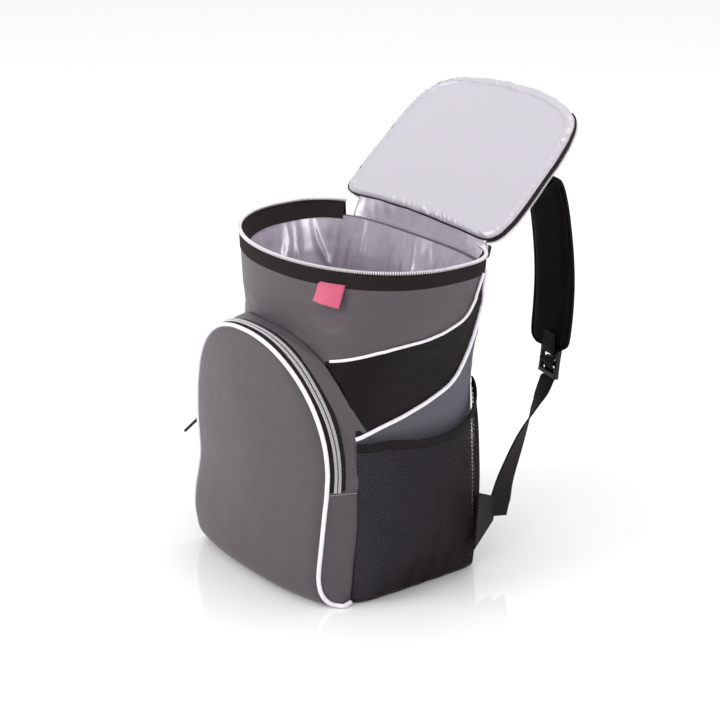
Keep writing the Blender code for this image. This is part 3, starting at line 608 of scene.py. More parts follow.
ZIP_PITCH = 0.0021
COIL_LIFT, COIL_STAND_OFF = 0.0011, -0.0009
rim_turns = [RIM_START + (RIM_END - RIM_START) * k / 300 for k in range(301)]
rim_line = spaced([bag_wall(turn, BAG_HEIGHT + TAPE_HEIGHT + COIL_LIFT, COIL_STAND_OFF)
                   for turn in rim_turns], ZIP_PITCH)
rim_teeth = plant("rim_zip_coil", small_block((0.0014, 0.0034, 0.0028), 0.0005),
                  [place_at(point, facing(rim_line, k), Vector((0, 0, 1)))
                   for k, point in enumerate(rim_line)], zip_zinc)
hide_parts("rim_teeth")

# The rim's slider, parked at the back right end: a cast zinc shoe with two cheeks and a bridge,
# and a ribbed cord pull hanging from the bridge over the edge.
# Braided pull cord dipped in soft rubber: black-brown, with a dull shine on its ribs.
pull_rubber, shader = start_finish("ribbed_pull_rubber", "#1A1416", 0.5)
nap = speckle(pull_rubber, object_place(pull_rubber), 700.0)
emboss(pull_rubber, shader, (nap, 0.3, 0.0003))
PULL_RIBS = 11


def slider_shoe(length, width, tall):
    """A shoe that narrows behind, with a groove for the chain and a bridge for the pull."""
    shoe = small_block((length, width, tall * 0.62), tall * 0.14)
    for vertex in shoe.verts:
        if vertex.co.x < 0:
            vertex.co.y *= 1 - 0.35 * (-vertex.co.x / (length / 2))
    groove = [face for face in shoe.faces if abs(face.normal.x) > 0.9]
    bmesh.ops.inset_region(shoe, faces=groove, thickness=tall * 0.12, depth=-tall * 0.3)
    bridge = small_block((length * 0.6, width * 0.3, tall * 0.3), tall * 0.1)
    for vertex in bridge.verts:
        vertex.co.z += tall * (0.36 + 0.14 * (1 - (vertex.co.x / (length * 0.3)) ** 2))
    mesh = bpy.data.meshes.new("bridge")
    bridge.to_mesh(mesh)
    bridge.free()
    shoe.from_mesh(mesh)
    bpy.data.meshes.remove(mesh)
    return shoe


def pull_ribs(share):
    """A thin loop at its root, then ribs 1.6 mm apart, and a round end."""
    body = 0.62 if share < 0.16 else 1.0 + 0.14 * math.sin(share * math.tau * PULL_RIBS)
    return body * (0.75 if share > 0.97 else 1.0)


def smooth_points(rows, count):
    """The points of a smooth line through the rows, as vectors."""
    return [Vector(row) for row in smooth_line(rows, count)]


lo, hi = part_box("rim_slider")
ahead = (bag_wall(RIM_END, 0.3) - bag_wall(RIM_END - 3, 0.3)).normalized()
slider = plant("rim_slider_shoe", slider_shoe(0.0115, 0.0095, 0.0050),
               [place_at((lo + hi) / 2, ahead, Vector((0, 0, 1)))], zip_zinc, smooth=False)
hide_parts("rim_slider")
lo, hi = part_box("rim_pull")
outward = Vector((ahead.y, -ahead.x, 0))
root = Vector(((lo.x + hi.x) / 2, (lo.y + hi.y) / 2, hi.z - 0.001)) - outward * 0.0012
route = [root - outward * 0.0035 + Vector((0, 0, 0.0012)), root,
         root + Vector((0, 0, -0.004)) + ahead * 0.002,
         root + Vector((0, 0, -0.009)) + ahead * 0.006,
         root + Vector((0, 0, -0.013)) + ahead * 0.011]
pull = round_cord("rim_pull_cord", smooth_points(route, 90), 0.0029, pull_rubber, pull_ribs)
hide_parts("rim_pull")

# The hinge: a strip of the silvery film over cloth, sewn to the back wall's top with one row of
# stitches and to the lid's lower edge, so the lid folds back on it.
HINGE_START, HINGE_END, HINGE_TUCK = 37.5, 142.5, 4
HINGE_RISE, HINGE_LEAN, HINGE_ROOT = 0.026, 0.002, 0.002


def sewing_thread(name, shade, roughness):
    """Polyester thread, twisted, round and slightly glossy."""
    material, shader = start_finish(name, shade, roughness)
    twist = speckle(material, object_place(material), 1500.0)
    emboss(material, shader, (twist, 0.3, 0.0002))
    return material


# Polyester sewing thread, grey-white.
thread = sewing_thread("polyester_thread", "#B9B2B8", 0.5)


def hinge_point(u, v):
    """Up the strip from the wall's top edge, which it follows, to the lid's straight lower edge."""
    turn = HINGE_START - HINGE_TUCK + (HINGE_END - HINGE_START + 2 * HINGE_TUCK) * u
    foot = bag_wall(turn, BAG_HEIGHT, -0.0012)
    foot.y = max(foot.y, 0.081)
    lean = (RIM_BACK + HINGE_LEAN - foot.y) * v
    slack = 0.0011 * ripple(foot + Vector((0, 0, v * 0.01)), 0.014, 8.0) * math.sin(math.pi * v)
    rise = -HINGE_ROOT + (HINGE_RISE + HINGE_ROOT) * v
    return foot + Vector((0, lean - abs(slack), rise))


hinge = make_piece("hinge_strip_film", cut_cloth(140, 12, hinge_point, (0.19, 0.024)), foil_film)
thicken(hinge, 0.0012, 0.0)
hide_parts("hinge_strip")


def stitch_row(name, points, normals, length, thickness, finish):
    """Separate stitches along a seam, lying on the cloth."""
    bead = bmesh.new()
    bmesh.ops.create_icosphere(bead, subdivisions=1, radius=0.5)
    size = Matrix.Diagonal((length, thickness, thickness * 0.8, 1.0))
    places = [place_at(point, facing(points, index), normal) @ size
              for index, (point, normal) in enumerate(zip(points, normals))]
    return plant(name, bead, places, finish)


line = spaced([hinge_point(k / 60, 0.2) + Vector((0, -0.0007, 0)) for k in range(61)], 0.0034)
stitch_row("hinge_stitches", line, [Vector((0, -1, 0))] * len(line), 0.0026, 0.0007, thread)

# The front pocket: a stiffened nylon panel that bows forward, rolls under at the floor and is cut
# as a tall arch, with a padded gusset that runs back from its piped edge to the bag's wall.
POCKET_HALF_WIDTH = 0.1015
POCKET_SPRING, POCKET_RISE = 0.130, 0.113
POCKET_DEEP, PANEL_BOW = 0.09352, 0.0014
POCKET_CROWN, POCKET_SAG = 0.016, 0.001
FOLD_RADIUS = 0.017
ARCH_POWER = 2 / 2.1
POCKET_WALL = 0.0014
POCKET_PIPING = 0.0042
POCKET_SEAM_HEIGHT = 0.116
# Below the spring line: height as a share of POCKET_SPRING, and the half width's share.
POCKET_SIDES = ((1.0, 1.0), (0.86, 0.984), (0.72, 0.960), (0.46, 0.918), (0.24, 0.885),
                (0.131, 0.90))
# Where the panel is sewn to the wall under the floor.
UNDER_NARROW, UNDER_DEEP = 0.98, 0.0712


def arch_rows():
    """Half width, height, depth forward and crown of the panel, from its apex to the floor."""
    rows = []
    for turn in np.linspace(90, 0, 46):
        across, up = math.cos(math.radians(turn)), math.sin(math.radians(turn))
        rows.append((POCKET_HALF_WIDTH * max(across, 0) ** ARCH_POWER,
                     POCKET_SPRING + POCKET_RISE * max(up, 0) ** ARCH_POWER,
                     POCKET_DEEP + PANEL_BOW, POCKET_CROWN))
    for share, narrow in smooth_line(POCKET_SIDES, 40)[1:]:
        crown = POCKET_CROWN - POCKET_SAG * (1 - share) ** 2
        rows.append((POCKET_HALF_WIDTH * narrow, POCKET_SPRING * share,
                     POCKET_DEEP + PANEL_BOW * share ** 2, crown))
    for angle in np.linspace(6, 90, 15):
        bend = math.radians(angle)
        rows.append((POCKET_HALF_WIDTH * (0.90 + 0.08 * angle / 90),
                     POCKET_WALL * 0.5 + FOLD_RADIUS * (1 - math.sin(bend)),
                     POCKET_DEEP - FOLD_RADIUS * (1 - math.cos(bend)), POCKET_CROWN - POCKET_SAG))
    rows.append((POCKET_HALF_WIDTH * UNDER_NARROW, POCKET_WALL * 0.5, UNDER_DEEP, 0.0))
    return np.array(rows)


panel_rows = arch_rows()
row_steps = np.linalg.norm(np.diff(panel_rows[:, :3], axis=0), axis=1)
row_way = np.concatenate([[0.0], np.cumsum(row_steps)])


def pocket_row(share):
    """The panel's row at a share of the way from the apex down to the wall under the floor."""
    return [float(np.interp(share * row_way[-1], row_way, panel_rows[:, k])) for k in range(4)]


def pocket_front(share, across):
    """A point of the panel's seam surface, across from -1 to 1."""
    half, height, deep, crown = pocket_row(share)
    x = half * across
    point = Vector((x, -deep - crown * (1 - (x / POCKET_HALF_WIDTH) ** 2), height))
    if across < 0:
        # The left side stands out fuller towards the floor.
        low = max(0.0, 1 - abs(height - 0.036) / 0.064)
        low *= low * (3 - 2 * low) * across
        outwards = 0.0115 * low + 0.0035 * across * min(1.0, height / 0.03)
        point += Vector((outwards, 0.0045 * low, 0))
    return point


def pocket_point(u, v):
    """The panel's cloth, which stands proud of its edge and sags in folds above the floor."""
    point = pocket_front(1 - v, 2 * u - 1)
    edge = max(0.0, 1 - (1 - abs(2 * u - 1)) / 0.16)
    apex = max(0.0, 1 - (1 - v) / 0.05)
    point.y -= 0.0042 * (1 - max(edge, apex) ** 3) + 0.0009 * ripple(point, 0.05, 21.0)
    low_fold = ripple(Vector((point.x, 0, point.z * 3.0)), 0.05, 25.0)
    point.y -= 0.0012 * low_fold * math.exp(-point.z / 0.02)
    return point


cloth = cut_cloth(96, 150, pocket_point, (0.2, 0.32))
pocket_panel = make_piece("front_pocket_panel", cloth, grey_nylon)
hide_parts("pocket_panel")


# Where the gusset is sewn to the wall over the arch. Columns: turn above the spring line of the
# panel's edge in front of it, then the seam's distance from the middle and its height.
SEAM_ARCH = ((0, 0.1115, 0.134), (14, 0.1120, 0.161), (28, 0.1065, 0.186), (42, 0.0945, 0.2075),
             (54, 0.0765, 0.2265), (66, 0.0530, 0.2385), (78, 0.0265, 0.2440), (90, 0.0, 0.2455))
seam_arch = smooth_line(SEAM_ARCH, 80)
SEAM_PROUD = PANEL_PROUD + 0.0012
# The seam's turn on the side wall at the floor, and how much further back it is higher up.
JUNCTION_TURN, JUNCTION_SHIFT, JUNCTION_RUN = -41.2, 2.4, 0.080


def wall_front(x, height):
    """The y of the bag's wall in front, at x."""
    low, high = -90.0, 0.0 if x >= 0 else -180.0
    for _ in range(24):
        middle = (low + high) / 2
        if abs(bag_wall(middle, height).x) < abs(x):
            low = middle
        else:
            high = middle
    return bag_wall(low, height, SEAM_PROUD).y


def junction_turn(height):
    """The turn of the gusset's seam on the side wall; it runs forward towards the floor."""
    return JUNCTION_TURN + JUNCTION_SHIFT * clamp(height / JUNCTION_RUN)


def junction(edge):
    """Where the gusset meets the wall, behind a point of the panel's edge."""
    side = 1 if edge.x >= 0 else -1
    turn = junction_turn(edge.z)
    low = bag_wall(turn if side > 0 else 180 - turn, max(edge.z, POCKET_WALL), SEAM_PROUD)
    if edge.z <= POCKET_SPRING:
        return low
    up = math.asin(min(((edge.z - POCKET_SPRING) / POCKET_RISE) ** (1 / ARCH_POWER), 1.0))
    x, z = (float(np.interp(math.degrees(up), seam_arch[:, 0], seam_arch[:, k])) for k in (1, 2))
    x = min(x, abs(low.x)) if up < 0.2 else x
    return Vector((side * x, wall_front(side * x, z), z))


GUSSET_STATIONS = 281
GUSSET_END = 0.955
edge_shares = np.linspace(-GUSSET_END, GUSSET_END, GUSSET_STATIONS)
edges = [pocket_front(abs(share), 1.0 if share < 0 else -1.0) for share in edge_shares]
junctions = [junction(edge) for edge in edges]
for _ in range(6):
    junctions = [junctions[0]] + [(a + 2 * b + c) / 4 for a, b, c in
                                  zip(junctions, junctions[1:], junctions[2:])] + [junctions[-1]]
gusset_out = []
for index, (edge, wall) in enumerate(zip(edges, junctions)):
    back = (wall - edge).normalized()
    outward = back.cross(facing(edges, index)).normalized()
    if outward.dot(edge - Vector((0, edge.y, POCKET_SPRING * 0.5))) < 0:
        outward.negate()
    if edge.z < FOLD_RADIUS:
        outward = outward.lerp(Vector((math.copysign(1.0, edge.x), 0, 0)), 1 - edge.z / FOLD_RADIUS)
    gusset_out.append(outward.normalized())


def gusset_spot(place, way, lift=0.0):
    """A point of the gusset: place 0 to 1 along it, way in metres back from its piped edge."""
    spot = place * (GUSSET_STATIONS - 1)
    index = min(int(spot), GUSSET_STATIONS - 2)
    part = spot - index
    edge = edges[index].lerp(edges[index + 1], part)
    wall = junctions[index].lerp(junctions[index + 1], part)
    out = gusset_out[index].lerp(gusset_out[index + 1], part).normalized()
    depth = (wall - edge).length
    share = min(way / depth, 1.0)
    return edge.lerp(wall, share) + out * lift, out, share, depth


GUSSET_GAP = 0.0012


def gusset_point(u, v):
    """The gusset's cloth: puffed out, folded and creased, and flatter under the zip's tape."""
    depth = gusset_spot(u, GUSSET_GAP)[3]
    point, out, share, _ = gusset_spot(u, GUSSET_GAP + (depth - GUSSET_GAP) * v)
    zipped = 1.0 if point.z > POCKET_SEAM_HEIGHT else 0.0
    low = max(0.0, 1 - point.z / POCKET_SEAM_HEIGHT)
    under_tape = 0.35 if zipped and share < 0.5 else 1.0
    arch = math.sin(math.pi * v)
    puff = 0.0016 * arch * (1.0 + 1.4 * low) * under_tape
    slant = Vector((point.z * 1.0 + point.y * 0.9, point.y * 0.35, point.x * 0.2))
    fold = 0.0022 * ripple(slant, 0.019, 31.0) * (0.6 + low) * arch ** 0.7 * under_tape
    crease = 0.0026 * (1 - min(1.0, abs(ripple(slant, 0.03, 37.0)) * 6)) * low * arch
    behind = max(0.0, share - 0.55) * zipped * 0.0035 * (0.5 + ripple(slant, 0.010, 41.0))
    return point + out * (puff + fold + behind - crease)


cloth = cut_cloth(420, 22, gusset_point, (0.72, 0.03), inside=True)
gusset = make_piece("front_pocket_gusset", cloth, grey_nylon)
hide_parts("pocket_gusset")

# The piping round the panel, thicker than the sides' and of the same white coated cloth; at the
# floor it turns back along the gusset's foot to the bag's corner.
line = [edge + out * 0.0012 for edge, out in zip(edges, gusset_out)]
for point in line:
    point.z = max(point.z, POCKET_PIPING / 2 + 0.0002)
PIPING_ENDS = ((0.1030, -0.0705, 0.0030), (0.1050, -0.0800, 0.0023),
               (-0.1070, -0.0800, 0.0023), (-0.1030, -0.0705, 0.0030))
right_end, right_bend, left_bend, left_end = (Vector(row) for row in PIPING_ENDS)
line = [right_end, right_bend] + line + [left_bend, left_end]
piping = round_cord("front_pocket_piping_cord", spaced(line, 0.002), POCKET_PIPING, piping_cloth)
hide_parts("pocket_piping")

# The cross seam under each end of the zip, topstitched in grey thread.
for end_of_zip in (0, 1):
    order = range(GUSSET_STATIONS) if end_of_zip == 0 else range(GUSSET_STATIONS - 1, -1, -1)
    station = next(k for k in order if edges[k].z > POCKET_SEAM_HEIGHT) / (GUSSET_STATIONS - 1)
    depth = gusset_spot(station, 0.0)[3]
    spots = [gusset_spot(station, 0.002 + (depth - 0.004) * k / 11, 0.0020) for k in range(12)]
    stitch_row(f"front_pocket_seam_stitches_{end_of_zip + 1}",
               [spot[0] - Vector((0, 0, 0.0026)) for spot in spots],
               [spot[1] for spot in spots], 0.0023, 0.0006, thread)

# The pocket's zip: black tape sewn into the gusset from one cross seam over the arch to the other,
# with the two rows of a wide coil closed down its middle and the slider at its left end's foot.
TAPE_FROM, TAPE_TO = 0.0020, 0.0168
TAPE_LIFT = 0.0020
CHAIN_MIDDLE, CHAIN_LIFT, CHAIN_PITCH, CHAIN_HALF_GAP = 0.0092, 0.0026, 0.0012, 0.0018
over_seam = [k / (GUSSET_STATIONS - 1) for k, edge in enumerate(edges)
             if edge.z > POCKET_SEAM_HEIGHT]
zip_from, zip_to = over_seam[0], over_seam[-1]


def pocket_tape_point(u, v):
    place = zip_from + (zip_to - zip_from) * u
    depth = gusset_spot(place, 0.0)[3]
    way = min(TAPE_FROM + (TAPE_TO - TAPE_FROM) * v, depth * 0.92)
    edge_dip = 0.0006 * (2 * abs(v - 0.5)) ** 6
    return gusset_spot(place, way, TAPE_LIFT - edge_dip)[0]


cloth = cut_cloth(260, 12, pocket_tape_point, (0.42, 0.016), inside=True)
pocket_tape = make_piece("front_pocket_zip_tape", cloth, zip_tape)
thicken(pocket_tape, 0.0008, -1.0)
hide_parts("pocket_tape")

steps = [zip_from + (zip_to - zip_from) * k / 400 for k in range(401)]
chain_line = spaced([gusset_spot(place, CHAIN_MIDDLE, CHAIN_LIFT)[0] for place in steps],
                    CHAIN_PITCH)
chain_out = [gusset_spot(zip_from + (zip_to - zip_from) * index / (len(chain_line) - 1),
                         CHAIN_MIDDLE)[1] for index in range(len(chain_line))]
chain_places = [place_at(point, facing(chain_line, index), out) @ Matrix.Translation((0, side, 0))
                for index, (point, out) in enumerate(zip(chain_line, chain_out))
                for side in (-CHAIN_HALF_GAP, CHAIN_HALF_GAP)]
chain = plant("front_pocket_zip_coil", small_block((0.0009, 0.0031, 0.0014), 0.0004), chain_places,
              zip_zinc)
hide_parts("pocket_chain")

out = chain_out[-1]
end = chain_line[-1] + out * 0.0020 + Vector((0, 0, 0.0050))
slider = plant("front_pocket_slider_shoe", slider_shoe(0.0115, 0.0092, 0.0046),
               [place_at(end, Vector((0, 0, 1)), out)], zip_zinc, smooth=False)
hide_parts("pocket_slider")
hang = Vector((-0.25, -0.72, -0.65)).normalized()
root = end + out * 0.0030
route = [root - hang * 0.002, root + hang * 0.002, root + hang * 0.010, root + hang * 0.0215]
pull = round_cord("front_pocket_pull_cord", smooth_points(route, 90), 0.0030, pull_rubber,
                  pull_ribs)
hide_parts("pocket_pull")

# The side pockets: black warp-knit net with six-sided holes, sewn in at the floor and both sides,
# loose enough to bulge, and gathered under a folded binding tape along its top.
# The net's top edge: columns are the turn and the height.
NET_TOP = ((-40.5, 0.1600), (-28, 0.1585), (-13.5, 0.1525), (1.2, 0.1515), (11.5, 0.1550),
           (16.9, 0.1620), (20.5, 0.1700), (26.0, 0.1790), (31.0, 0.1860))
NET_START, NET_END = -40.5, 31.0
NET_FOOT = 0.002
NET_BULGE, NET_STAND_OFF = 0.018, 0.0022
# How far it bulges on the way up: columns are the share of its height, and of the full bulge.
NET_RISE = ((0.0, 0.06), (0.12, 0.45), (0.28, 0.85), (0.55, 1.0), (0.85, 0.85), (1.0, 0.50))
BINDING_WIDTH = 0.008
NET_WIDTH, NET_HEIGHT = 0.178, 0.150
NET_CELL, NET_STRAND = 0.0022, 0.0008
net_rise = smooth_line(NET_RISE, 60)
net_top = smooth_line(NET_TOP, 60)
# Knitted polyester net, black-brown and dull, each strand a tight loop.
net_yarn, shader = start_finish("knitted_net_yarn", "#1D1518", 0.7, Specular_IOR_Level=0.2)
loops = speckle(net_yarn, object_place(net_yarn), 800.0, 1.0)
tint(net_yarn, shader, loops, "#140E10", "#2A2024")


def net_point(u, v, extra=0.0):
    """From the pocket's front seam back, and from the floor up to the foot of the binding."""
    u = clamp(u)
    turn = NET_START + (NET_END - NET_START) * u
    top = float(np.interp(turn, net_top[:, 0], net_top[:, 1])) - BINDING_WIDTH
    height = NET_FOOT + (top - NET_FOOT) * clamp(v)
    turn += (junction_turn(height) - NET_START) * (1 - u)
    bulge = NET_BULGE * max(math.sin(math.pi * u), 0) ** 0.50 * (1 - 0.55 * u * u)
    bulge *= float(np.interp(v, net_rise[:, 0], net_rise[:, 1]))
    slack = 0.0012 * ripple(Vector((u * 0.17, 0, v * 0.06)), 0.02, 51.0) * math.sin(math.pi * u)
    return bag_wall(turn, height, NET_STAND_OFF + bulge + slack + extra)


# One row of six-sided holes is laid out flat, then the rows are set side by side, half a hole
# apart; each side's net is a copy of that, bent to its place and turned to strands.
hole = bmesh.new()
bmesh.ops.create_circle(hole, cap_ends=True, segments=6, radius=NET_CELL / math.sqrt(3))
row_step = NET_CELL * math.sqrt(3) / 2
flat_net = repeated(hole, [Matrix.Translation((column * NET_CELL, 0, 0))
                           for column in range(math.ceil(NET_WIDTH / NET_CELL) + 1)])
flat_net = repeated(flat_net, [Matrix.Translation((NET_CELL / 2 * (level % 2), level * row_step, 0))
                               for level in range(math.ceil(NET_HEIGHT / row_step) + 1)])
bmesh.ops.remove_doubles(flat_net, verts=flat_net.verts, dist=NET_CELL * 0.02)
for side, hand in SIDES:
    net = flat_net.copy()
    for vertex in net.verts:
        spot = net_point(vertex.co.x / NET_WIDTH, vertex.co.y / NET_HEIGHT)
        vertex.co = other_side(spot, side)
    bmesh.ops.recalc_face_normals(net, faces=net.faces)
    bmesh.ops.dissolve_degenerate(net, edges=net.edges, dist=1e-6)
    bmesh.ops.wireframe(net, faces=net.faces, thickness=NET_STRAND, use_replace=True,
                        use_boundary=True, use_even_offset=False, offset=0.0)
    pocket = make_piece(f"net_pocket_{hand}", net, net_yarn, smooth=False)
    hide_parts(f"mesh_pocket_{hand}")
flat_net.free()

# The net's edge binding: ribbed black tape folded over the gathered top and sewn through.
# Ribbed woven webbing: dull black polyester with fine cross ribs.
webbing, shader = start_finish("ribbed_polyester_webbing", "#1A1417", 0.74, Specular_IOR_Level=0.18)
web_place = cloth_place(webbing)
cross_ribs = lines(webbing, web_place, 0.0019, "Y", Distortion=0.5)
weave = reckon(webbing, "MULTIPLY", cross_ribs, lines(webbing, web_place, 0.0030, "X"))
emboss(webbing, shader, (weave, 0.7, 0.0006))
tint(webbing, shader, weave, "#100C0D", "#282024")
for side, hand in SIDES:
    def net_edge(u, v):
        point = net_point(u, 1.0, 0.0004 * ripple(Vector((u * 0.17, 0, 0)), 0.012, 61.0))
        swell = 0.0005 * math.sin(math.pi * v)
        point.z += BINDING_WIDTH * v
        centre = Vector((0, BAG_MIDDLE_Y, point.z))
        return other_side(point + (point - centre).normalized() * swell, side)

    binding = make_piece(f"net_binding_{hand}",
                         cut_cloth(120, 8, net_edge, (0.19, BINDING_WIDTH), inside=side < 0),
                         webbing)
    thicken(binding, 0.0014, 0.0)
    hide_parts(f"mesh_binding_{hand}")

# The lid: foam between a grey nylon outside and a silvery film inside, a D as wide as the rim. Its
# film is turned over the edge and gathered there, so the edge is a puffy, crumpled welt.
LID_ANGLE = math.radians(40.5)
LID_ROOT = Vector((-0.0040, 0.0928, 0.3238))
LID_CENTRE = 0.070
LID_THICKNESS = 0.009
WELT_WIDTH, WELT_RISE = 0.0090, 0.0014
WELT_WAY, WELT_BACK = WELT_WIDTH * 1.9, 0.0045
# The outline in the lid's own plane: across, and the way from the hinge, in millimetres.
LID_OUTLINE = ((88, -9), (103, -8), (111, 0), (114, 17), (114, 34), (112, 61), (110, 87),
               (106, 111), (101, 127), (93, 137), (76, 146), (52, 153), (25, 157), (-12, 158),
               (-46, 156), (-83, 149), (-104, 137), (-114, 120), (-118, 103), (-118, 79),
               (-118, 48), (-117, 20), (-115, 0), (-108, -7), (-90, -7), (-60, -5), (-20, -4),
               (20, -5), (60, -7))
EDGE_STEPS, EDGE_BLUR = 720, 15
lid_ahead = Vector((0, math.cos(LID_ANGLE), math.sin(LID_ANGLE)))
lid_up = Vector((0, -math.sin(LID_ANGLE), math.cos(LID_ANGLE)))
dense_outline = [(x + (x2 - x) * k / 12, s + (s2 - s) * k / 12)
                 for (x, s), (x2, s2) in zip(LID_OUTLINE, LID_OUTLINE[1:] + LID_OUTLINE[:1])
                 for k in range(12)]
# The same outline as a reach from the lid's centre at even angles, blurred round its corners.
spots = sorted((math.atan2(s / 1000 - LID_CENTRE, x / 1000),
                math.hypot(x / 1000, s / 1000 - LID_CENTRE)) for x, s in dense_outline)
angles = np.array([angle + turn for turn in (-math.tau, 0.0, math.tau) for angle, _ in spots])
reaches = np.array([reach for _, reach in spots] * 3)
around = np.linspace(-math.pi, math.pi, EDGE_STEPS + 1)[:-1]
lid_reach = np.interp(around, angles, reaches)
beyond = EDGE_BLUR // 2
lid_reach = np.convolve(np.concatenate([lid_reach[-beyond:], lid_reach, lid_reach[:beyond]]),
                        blur_weights(EDGE_BLUR), "valid")
lid_reach = np.append(lid_reach, lid_reach[0])


def edge_reach(share):
    """The reach from the lid's centre to its edge, at a share of the turn round it."""
    return float(np.interp((share % 1.0) * EDGE_STEPS, np.arange(EDGE_STEPS + 1), lid_reach))


def lid_spot(share, inset, depth):
    """A point of the lid: share of the turn round its edge, the way in from it, and how deep."""
    angle = (share % 1.0) * math.tau - math.pi
    reach = max(edge_reach(share) - inset, 0.0)
    return (LID_ROOT + Vector((reach * math.cos(angle), 0, 0))
            + lid_ahead * (LID_CENTRE + reach * math.sin(angle)) - lid_up * depth)


def lid_film_point(u, v):
    """From the middle of the facing out to its edge, then over the welt and under the lid."""
    reach = edge_reach(u)
    flat = reach - WELT_WIDTH
    way = v * (flat + WELT_WAY)
    edge = lid_spot(u, 0.0, 0.0)
    # Some runs of the edge are gathered tightly and others lie almost smooth.
    crumpled = 0.25 + 0.75 * clamp(0.62 + 1.4 * ripple(edge, 0.07, 79.0))
    if way <= flat:
        point = lid_spot(u, reach - way, 0.0)
        near = math.exp(-(flat - way) / 0.012)
        rise = 0.0004 * ripple(point, 0.09, 71.0)
        rise += 0.0010 * near * crumpled * ripple(point, 0.009, 73.0)
        return point + lid_up * (rise - 0.0006 * near)
    part = (way - flat) / WELT_WAY
    bend = part * math.pi
    crush = ripple(edge + lid_up * part * 0.008, 0.0060, 75.0)
    crush += 0.7 * ripple(edge + lid_up * part * 0.006, 0.0032, 77.0)
    crush *= crumpled * math.sin(bend)
    inset = WELT_WIDTH / 2 * (1 + math.cos(bend))
    rise = WELT_RISE * math.sin(bend) - WELT_BACK * part ** 2
    return lid_spot(u, max(inset - 0.0008 * crush, 0.0), 0.0) + lid_up * (rise + 0.0018 * crush)


cloth = cut_cloth(560, 64, lid_film_point, (0.78, 0.09), inside=True)
# The facing is a thicker, tauter cut of the same film: pearly, half matt and almost uncreased.
facing_film, shader = start_finish("pearly_facing_film", "#B4B0B8", 0.40, Metallic=0.15,
                                   Coat_Weight=0.25, Coat_Roughness=0.2)
pearl = speckle(facing_film, object_place(facing_film), 45.0)
emboss(facing_film, shader, (pearl, 0.10, 0.0012))
lid_film = make_piece("lid_film_facing", cloth, facing_film)
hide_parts("lid_film")


FILL_FRAMES = 20
FILL_PRESSURE = 4.0


def mesh_points(mesh):
    """The places of a mesh's vertices, one a row."""
    places = np.empty(len(mesh.vertices) * 3)
    mesh.vertices.foreach_get("co", places)
    return places.reshape(-1, 3)


def swell(piece, voxel, most):
    """Round a pad: remesh it, fill it with air, and let no point move further than most."""
    remesh = piece.modifiers.new("remesh", "REMESH")
    remesh.mode = "VOXEL"
    remesh.voxel_size = voxel
    depsgraph = bpy.context.evaluated_depsgraph_get()
    flat_mesh = bpy.data.meshes.new_from_object(piece.evaluated_get(depsgraph))
    piece.modifiers.remove(remesh)
    finish = piece.data.materials[0]
    piece.data = flat_mesh
    flat_mesh.materials.clear()
    flat_mesh.materials.append(finish)
    fill = piece.modifiers.new("fill", "CLOTH")
    fill.settings.quality = 5
    fill.settings.use_pressure = True
    fill.settings.uniform_pressure_force = FILL_PRESSURE
    fill.settings.effector_weights.gravity = 0
    scene = bpy.context.scene
    for step in range(1, FILL_FRAMES + 1):
        scene.frame_set(step)
    depsgraph = bpy.context.evaluated_depsgraph_get()
    filled = piece.evaluated_get(depsgraph)
    start = mesh_points(flat_mesh)
    moved = mesh_points(filled.to_mesh()) - start
    length = np.linalg.norm(moved, axis=1, keepdims=True)
    moved *= np.minimum(1.0, most / np.maximum(length, 1e-9))
    filled.to_mesh_clear()
    piece.modifiers.remove(fill)
    scene.frame_set(1)
    flat_mesh.vertices.foreach_set("co", (start + moved).ravel())
    flat_mesh.update()
    flat_mesh.polygons.foreach_set("use_smooth", [True] * len(flat_mesh.polygons))
    round_off = piece.modifiers.new("round_off", "SUBSURF")
    round_off.levels = round_off.render_levels = 1


# Padded pieces have no flat pattern after they are filled, so their nylon is woven in space.
def padded_nylon(name, shade, dark, sheen_tint, sheen, gloss, roughness, yarn_drawn):
    material, shader = start_nylon(name, shade, sheen_tint, sheen, gloss, roughness)
    place = object_place(material)
    slanted = add_node(material, "ShaderNodeMapping",
                       {"Vector": place, "Rotation": (0.5, 0.35, 0.4)}).outputs["Vector"]
    weave = reckon(material, "MULTIPLY", lines(material, slanted, yarn_drawn, "Z", Distortion=0.8),
                   lines(material, slanted, yarn_drawn, "X", Distortion=0.8))
    cloud = speckle(material, place, 70.0, 4.0)
    tint(material, shader, reckon(material, "MULTIPLY_ADD", cloud, weave, 0.15), dark, shade)
    emboss(material, shader, (weave, 0.5, 0.0004), (cloud, 0.4, 0.0014))
    return material


lid_nylon = padded_nylon("woven_nylon_grey_padded", "#5D555B", "#474045", "#B9A6BF", 0.14, 0.45,
                         NYLON_ROUGHNESS, YARN_DRAWN)
LID_PAD_TOP, LID_PAD_BOTTOM = 0.0046, 0.0022 + LID_THICKNESS
# The shares of the pad's skin that make its face and its back; the rest goes over its edge.
LID_PAD_FACE, LID_PAD_BACK = 0.42, 0.58


def lid_pad_point(u, v):
    """A flat cushion's skin: from the middle of its face over the edge to that of its back."""
    reach = edge_reach(u)
    if v < LID_PAD_FACE:
        return lid_spot(u, reach * (1 - v / LID_PAD_FACE) + 0.004, LID_PAD_TOP)
    if v > LID_PAD_BACK:
        way = (v - LID_PAD_BACK) / (1 - LID_PAD_BACK)
        return lid_spot(u, reach * way + 0.006, LID_PAD_BOTTOM)
    bend = (v - LID_PAD_FACE) / (LID_PAD_BACK - LID_PAD_FACE) * math.pi
    depth = LID_PAD_TOP + (LID_PAD_BOTTOM - LID_PAD_TOP) * (1 - math.cos(bend)) / 2
    return lid_spot(u, 0.004 - 0.0022 * math.sin(bend), depth)


cloth = cut_cloth(180, 60, lid_pad_point, (0.78, 0.2), inside=True)
lid_pad = make_piece("lid_padding", cloth, lid_nylon)
swell(lid_pad, 0.005, 0.0014)
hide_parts("lid")

